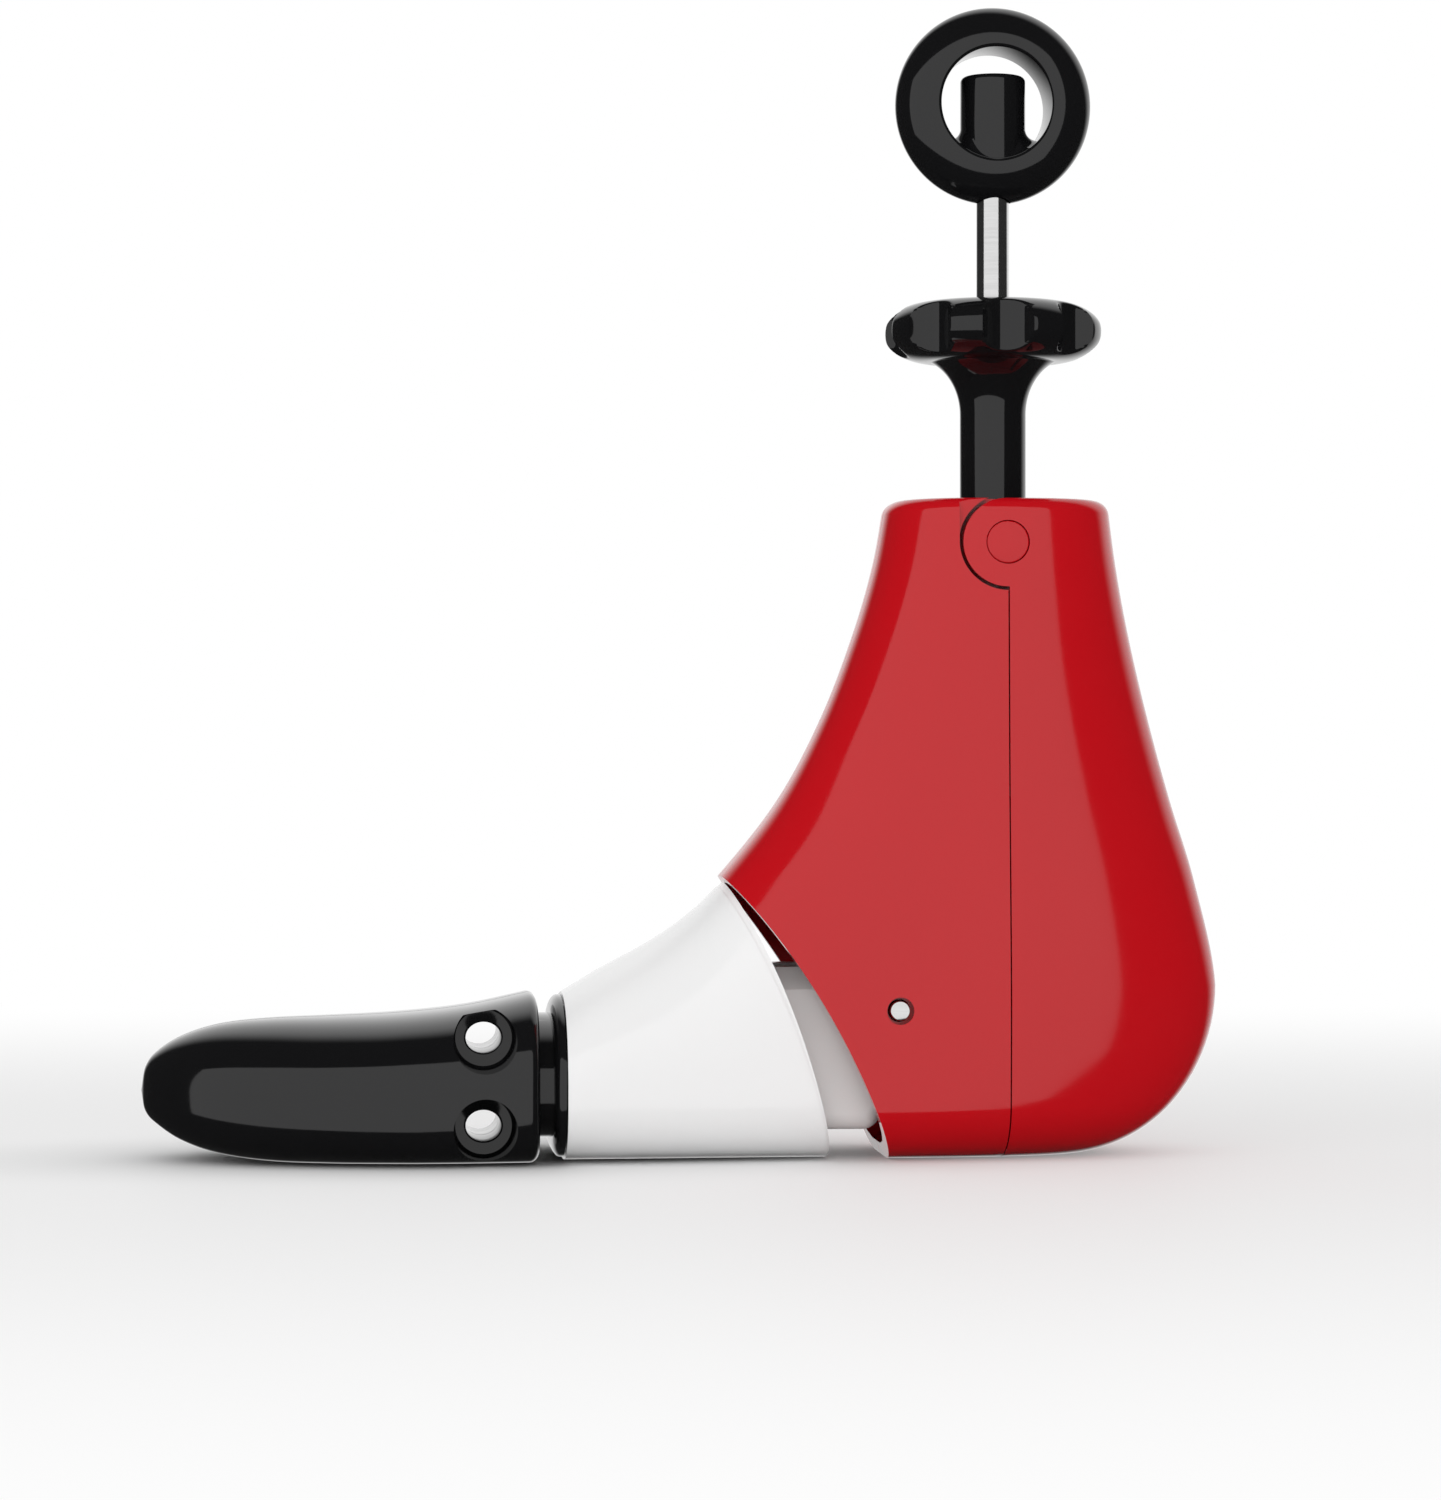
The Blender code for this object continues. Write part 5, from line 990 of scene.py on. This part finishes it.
def boss_fillet():
    """The hollow rounding between the boss and the ring's bore; it dies out towards the ring's two faces."""
    rows = []
    for angle in bearings(96):
        face = (RING_DEEP / 2 - RING_CORNER / 2) / max(0.01, abs(sin(angle)))
        fillet = min(BOSS_FILLET, max(BOSS_FILLET_LEAST, face - BOSS_R))
        reach = BOSS_R + fillet
        bore = RING_Z - sqrt(RING_HOLE_R ** 2 - (reach * cos(angle)) ** 2)
        profile = [(BOSS_R - BOSS_FILLET_IN, bore + fillet)]
        profile += [(reach - fillet * cos(QUARTER * t / 8), bore + fillet - fillet * sin(QUARTER * t / 8))
                    for t in range(9)]
        profile.append((reach, bore - EPS))
        rows.append([(STEM_X + radius * cos(angle), radius * sin(angle), height) for radius, height in profile])
    return extruded_form("boss_fillet", [[row[t] for row in rows] for t in range(len(rows[0]))])


def turned_edges(pin, width):
    """A pin whose two edges are softly rounded."""
    modifier = pin.modifiers.new("soft_edges", "BEVEL")
    modifier.width = width
    modifier.segments = 3
    modifier.limit_method = "ANGLE"
    modifier.angle_limit = radians(40.0)
    apply_modifier(pin, modifier)
    return pin


def build_pieces():
    core, region = ankle_core(), front_region()
    for side, word in SIDES:
        stand_in(f"ankle_shell_{word}", front_block_half(f"front_block_{word}", side, core, region))
    for tool in (core, region):
        bpy.data.objects.remove(tool, do_unlink=True)
    stand_in("heel_shell", heel_block())
    stand_in("midfoot_shell", midfoot_cover())
    stand_in("ankle_tongue", tongue_bar())
    stand_in("front_bulkhead", bulkhead())
    for side, word in SIDES:
        stand_in(f"toe_half_{word}", toe_cover(f"toe_cover_{word}", side))
        stand_in(f"hinge_pin_{word}", turned_edges(across(
            f"knuckle_pin_{word}", STEM_X, HINGE_Z, side * (TOWER_HALF_Y - HINGE_PIN_IN),
            side * (block_section(HINGE_Z)[2] - HINGE_PIN_SUNK), HINGE_PIN_R, 72), PIN_EDGE))
        stand_in(f"ankle_pin_{word}", turned_edges(across(
            f"pivot_pin_{word}", ANKLE_X, ANKLE_Z, side * ANKLE_PIN_INNER_Y,
            side * (ankle_side_y() - ANKLE_PIN_SUNK), ANKLE_PIN_R, 72), ANKLE_PIN_EDGE))
    stand_in("star_knob", star_handle())
    stand_in("ring_handle", finger_ring())
    stand_in("drive_rod", turned_edges(upright("steel_rod", ROD_FOOT, ROD_TOP, ROD_R, 72), ROD_EDGE))


# Materials

def feed(tree, node, inputs):
    """Gives a node's inputs other nodes' outputs or plain values."""
    for key, value in inputs.items():
        if isinstance(value, bpy.types.NodeSocket):
            tree.links.new(value, node.inputs[key])
        else:
            node.inputs[key].default_value = value


def wired(tree, kind, inputs, output="Value", **settings):
    """One output of a new node."""
    node = tree.nodes.new("ShaderNode" + kind)
    for key, value in settings.items():
        setattr(node, key, value)
    feed(tree, node, inputs)
    return node.outputs[output]


def mapped(tree, source, low, high, to_low, to_high):
    """A value that runs from one number to another while its source crosses a range."""
    return wired(tree, "MapRange", {"Value": source, "From Min": low, "From Max": high, "To Min": to_low,
                                    "To Max": to_high}, "Result", interpolation_type="SMOOTHSTEP")


def surface_group(name, **defaults):
    """A group that turns a colour and some values into a colour, a roughness and a height."""
    group = bpy.data.node_groups.new(name, "ShaderNodeTree")

    def add_socket(side, name):
        kind = "NodeSocketColor" if name == "Color" else "NodeSocketFloat"
        return group.interface.new_socket(name=name, in_out=side, socket_type=kind)

    for socket, value in defaults.items():
        add_socket("INPUT", socket).default_value = value
    for socket in ("Color", "Roughness", "Height"):
        add_socket("OUTPUT", socket)
    entry, leave = group.nodes.new("NodeGroupInput"), group.nodes.new("NodeGroupOutput")
    return group, entry.outputs, leave, wired(group, "TexCoord", {}, "Object")


def moulded_group():
    """Moulded plastic: cloudy colour, faint flow ripple and fine handling haze."""
    group, entry, leave, place = surface_group(
        "moulded_surface", Color=(0.5, 0.5, 0.5, 1.0), Shade=0.06, Gloss=0.10, Haze=0.05)
    cloud = wired(group, "TexNoise", {"Vector": place, "Scale": 28.0, "Detail": 3.0}, "Fac")
    centred = wired(group, "Math", {0: cloud, 1: 0.5}, operation="SUBTRACT")
    shade = wired(group, "Math", {0: centred, 1: entry["Shade"], 2: 1.0}, operation="MULTIPLY_ADD")
    tint = wired(group, "HueSaturation", {"Color": entry["Color"], "Value": shade}, "Color")
    smear = wired(group, "TexNoise", {"Vector": place, "Scale": 90.0, "Detail": 6.0, "Roughness": 0.7}, "Fac")
    patch = wired(group, "MapRange", {"Value": smear, "From Min": 0.45, "From Max": 0.75}, "Result")
    rough = wired(group, "Math", {0: patch, 1: entry["Haze"], 2: entry["Gloss"]}, operation="MULTIPLY_ADD")
    ripple = wired(group, "TexNoise", {"Vector": place, "Scale": 60.0, "Detail": 1.0}, "Fac")
    feed(group, leave, {"Color": tint, "Roughness": rough, "Height": ripple})
    return group


def turned_group():
    """Turned or drawn metal: fine rings round one axis, with a little colour change."""
    group, entry, leave, place = surface_group(
        "turned_surface", Color=(0.6, 0.6, 0.6, 1.0), Gloss=0.15, Haze=0.12)
    stretched = wired(group, "Mapping", {"Vector": place, "Scale": (120.0, 120.0, 2400.0)}, "Vector")
    rings = wired(group, "TexNoise", {"Vector": stretched, "Scale": 1.0, "Detail": 4.0}, "Fac")
    tint = wired(group, "Mix", {"Factor": 0.25, "A": entry["Color"], "B": rings}, "Result",
                 data_type="RGBA", blend_type="MULTIPLY")
    rough = wired(group, "Math", {0: rings, 1: entry["Haze"], 2: entry["Gloss"]}, operation="MULTIPLY_ADD")
    feed(group, leave, {"Color": tint, "Roughness": rough, "Height": rings})
    return group


def new_material(name, inputs):
    material = bpy.data.materials.new(name)
    material.use_nodes = True
    shader = material.node_tree.nodes["Principled BSDF"]
    feed(material.node_tree, shader, inputs)
    return material, material.node_tree, shader


def dressed(name, group, colour, gloss, haze, bump, metallic=0.0, shade=0.05):
    """A material that takes its colour, gloss and surface from one of the groups."""
    colour = (*colour, 1.0)
    material, tree, shader = new_material(name, {"Base Color": colour, "Roughness": gloss, "Metallic": metallic})
    surface = tree.nodes.new("ShaderNodeGroup")
    surface.node_tree = group
    feed(tree, surface, {"Color": colour, "Gloss": gloss, "Haze": haze})
    if "Shade" in surface.inputs:
        surface.inputs["Shade"].default_value = shade
    relief = wired(tree, "Bump", {"Height": surface.outputs["Height"], "Strength": 1.0, "Distance": bump}, "Normal")
    feed(tree, shader, {
        "Base Color": surface.outputs["Color"], "Roughness": surface.outputs["Roughness"], "Normal": relief})
    return material


MOULDED = moulded_group()
TURNED = turned_group()
FINISH_OF_SLOT = {
    "red_plastic": dressed("red_plastic", MOULDED, (0.53, 0.004, 0.009), 0.10, 0.03, 0.004 * MM),
    "white_plastic": dressed("white_plastic", MOULDED, (0.90, 0.90, 0.90), 0.12, 0.04, 0.004 * MM, shade=0.02),
    "pale_plastic": dressed("pale_plastic", MOULDED, (0.90, 0.90, 0.89), 0.16, 0.06, 0.006 * MM, shade=0.03),
    "black_plastic": dressed("black_plastic", MOULDED, (0.006, 0.006, 0.0065), 0.07, 0.03, 0.004 * MM, shade=0.10),
    "polished_steel": dressed("polished_steel", TURNED, (0.80, 0.80, 0.80), 0.06, 0.05, 0.001 * MM, metallic=1.0),
    "plain_steel": dressed("plain_steel", TURNED, (0.56, 0.56, 0.57), 0.24, 0.15, 0.002 * MM, metallic=1.0),
    "brass": dressed("turned_brass", TURNED, (0.60, 0.42, 0.15), 0.22, 0.15, 0.002 * MM, metallic=1.0),
}


def dress_nodes():
    """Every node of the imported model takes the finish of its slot."""
    for name, node in NODES.items():
        put_finish(name, node)


# Camera, light and floor

def placed(name, data, place):
    thing = bpy.data.objects.new(name, data)
    bpy.context.scene.collection.objects.link(thing)
    thing.location = place
    return thing


def set_camera():
    data = bpy.data.cameras.new("camera")
    camera = placed("camera", data, (
        AIM_X + CAMERA_FAR * sin(CAMERA_AZIMUTH), -CAMERA_FAR * cos(CAMERA_AZIMUTH), EYE_Z))
    camera.rotation_euler = (QUARTER, 0.0, CAMERA_AZIMUTH)
    data.sensor_width = SENSOR
    data.lens = SENSOR * CAMERA_FAR / VIEW_HIGH
    data.clip_start = 0.05
    data.clip_end = 50.0
    bpy.context.scene.camera = camera
    bpy.context.scene.view_settings.view_transform = "Standard"


def add_softbox():
    """A wide rectangular lamp that shines level on the middle of the object."""
    data = bpy.data.lights.new("front_box", "AREA")
    data.shape = "RECTANGLE"
    data.size, data.size_y = BOX_SIZE
    data.energy = BOX_LIGHT
    lamp = placed("front_box", data, BOX_PLACE)
    lamp.rotation_euler = (Vector((0.0, 0.0, BOX_PLACE[2])) - Vector(BOX_PLACE)).to_track_quat("-Z", "Y").to_euler()


def set_world():
    """A pale room that shines mostly from above, a white backdrop behind the object, white for the camera."""
    world = bpy.data.worlds.new("room")
    bpy.context.scene.world = world
    world.use_nodes = True
    tree = world.node_tree
    tree.nodes.clear()
    place = wired(tree, "TexCoord", {}, "Generated")
    upward = wired(tree, "SeparateXYZ", {"Vector": place}, "Z")
    lean = wired(tree, "VectorMath", {0: place, 1: BACKDROP_LEAN}, operation="DOT_PRODUCT")
    sky, backdrop, white = [
        wired(tree, "Background", {"Color": PLAIN_WHITE, "Strength": strength}, "Background") for strength in (
            mapped(tree, upward, *SKY_EDGE, *ROOM_LIGHT), mapped(tree, lean, *BACKDROP_EDGE, *BACKDROP_LIGHT), 1.0)]
    rays = wired(tree, "LightPath", {}, "Is Camera Ray").node.outputs
    mirrored = wired(tree, "Math", {0: rays["Is Glossy Ray"], 1: rays["Is Transmission Ray"]}, operation="MAXIMUM")
    room = wired(tree, "MixShader", {"Fac": mirrored, 1: sky, 2: backdrop}, "Shader")
    seen = wired(tree, "MixShader", {"Fac": rays["Is Camera Ray"], 1: room, 2: white}, "Shader")
    feed(tree, tree.nodes.new("ShaderNodeOutputWorld"), {"Surface": seen})


def add_floor():
    """A white floor that keeps the soft shadow near the object and runs out to plain white."""
    clear_selection()
    bpy.ops.mesh.primitive_plane_add(size=30.0)
    floor = added("floor")
    material, tree, shader = new_material("white_floor", {
        "Base Color": (0.90, 0.90, 0.90, 1.0), "Roughness": 0.6, "Specular IOR Level": 0.2})
    glow = wired(tree, "Emission", {"Color": PLAIN_WHITE, "Strength": 1.0}, "Emission")
    place = wired(tree, "TexCoord", {}, "Object")
    scaled = wired(tree, "VectorMath", {0: place, 1: FLOOR_SCALE, 2: FLOOR_SHIFT}, "Vector",
                   operation="MULTIPLY_ADD")
    away = wired(tree, "VectorMath", {0: scaled}, operation="LENGTH")
    near, far = [mapped(tree, away, *steps) for steps in (FLOOR_NEAR, FLOOR_FAR)]
    share = wired(tree, "Math", {0: near, 1: far}, operation="ADD")
    seen = wired(tree, "Math", {0: share, 1: wired(tree, "LightPath", {}, "Is Camera Ray")}, operation="MULTIPLY")
    mix = wired(tree, "MixShader", {"Fac": seen, 1: shader.outputs["BSDF"], 2: glow}, "Shader")
    feed(tree, tree.nodes["Material Output"], {"Surface": mix})
    floor.data.materials.append(material)
    floor.visible_glossy = False


set_camera()
set_world()
add_floor()
add_softbox()
dress_nodes()
build_pieces()
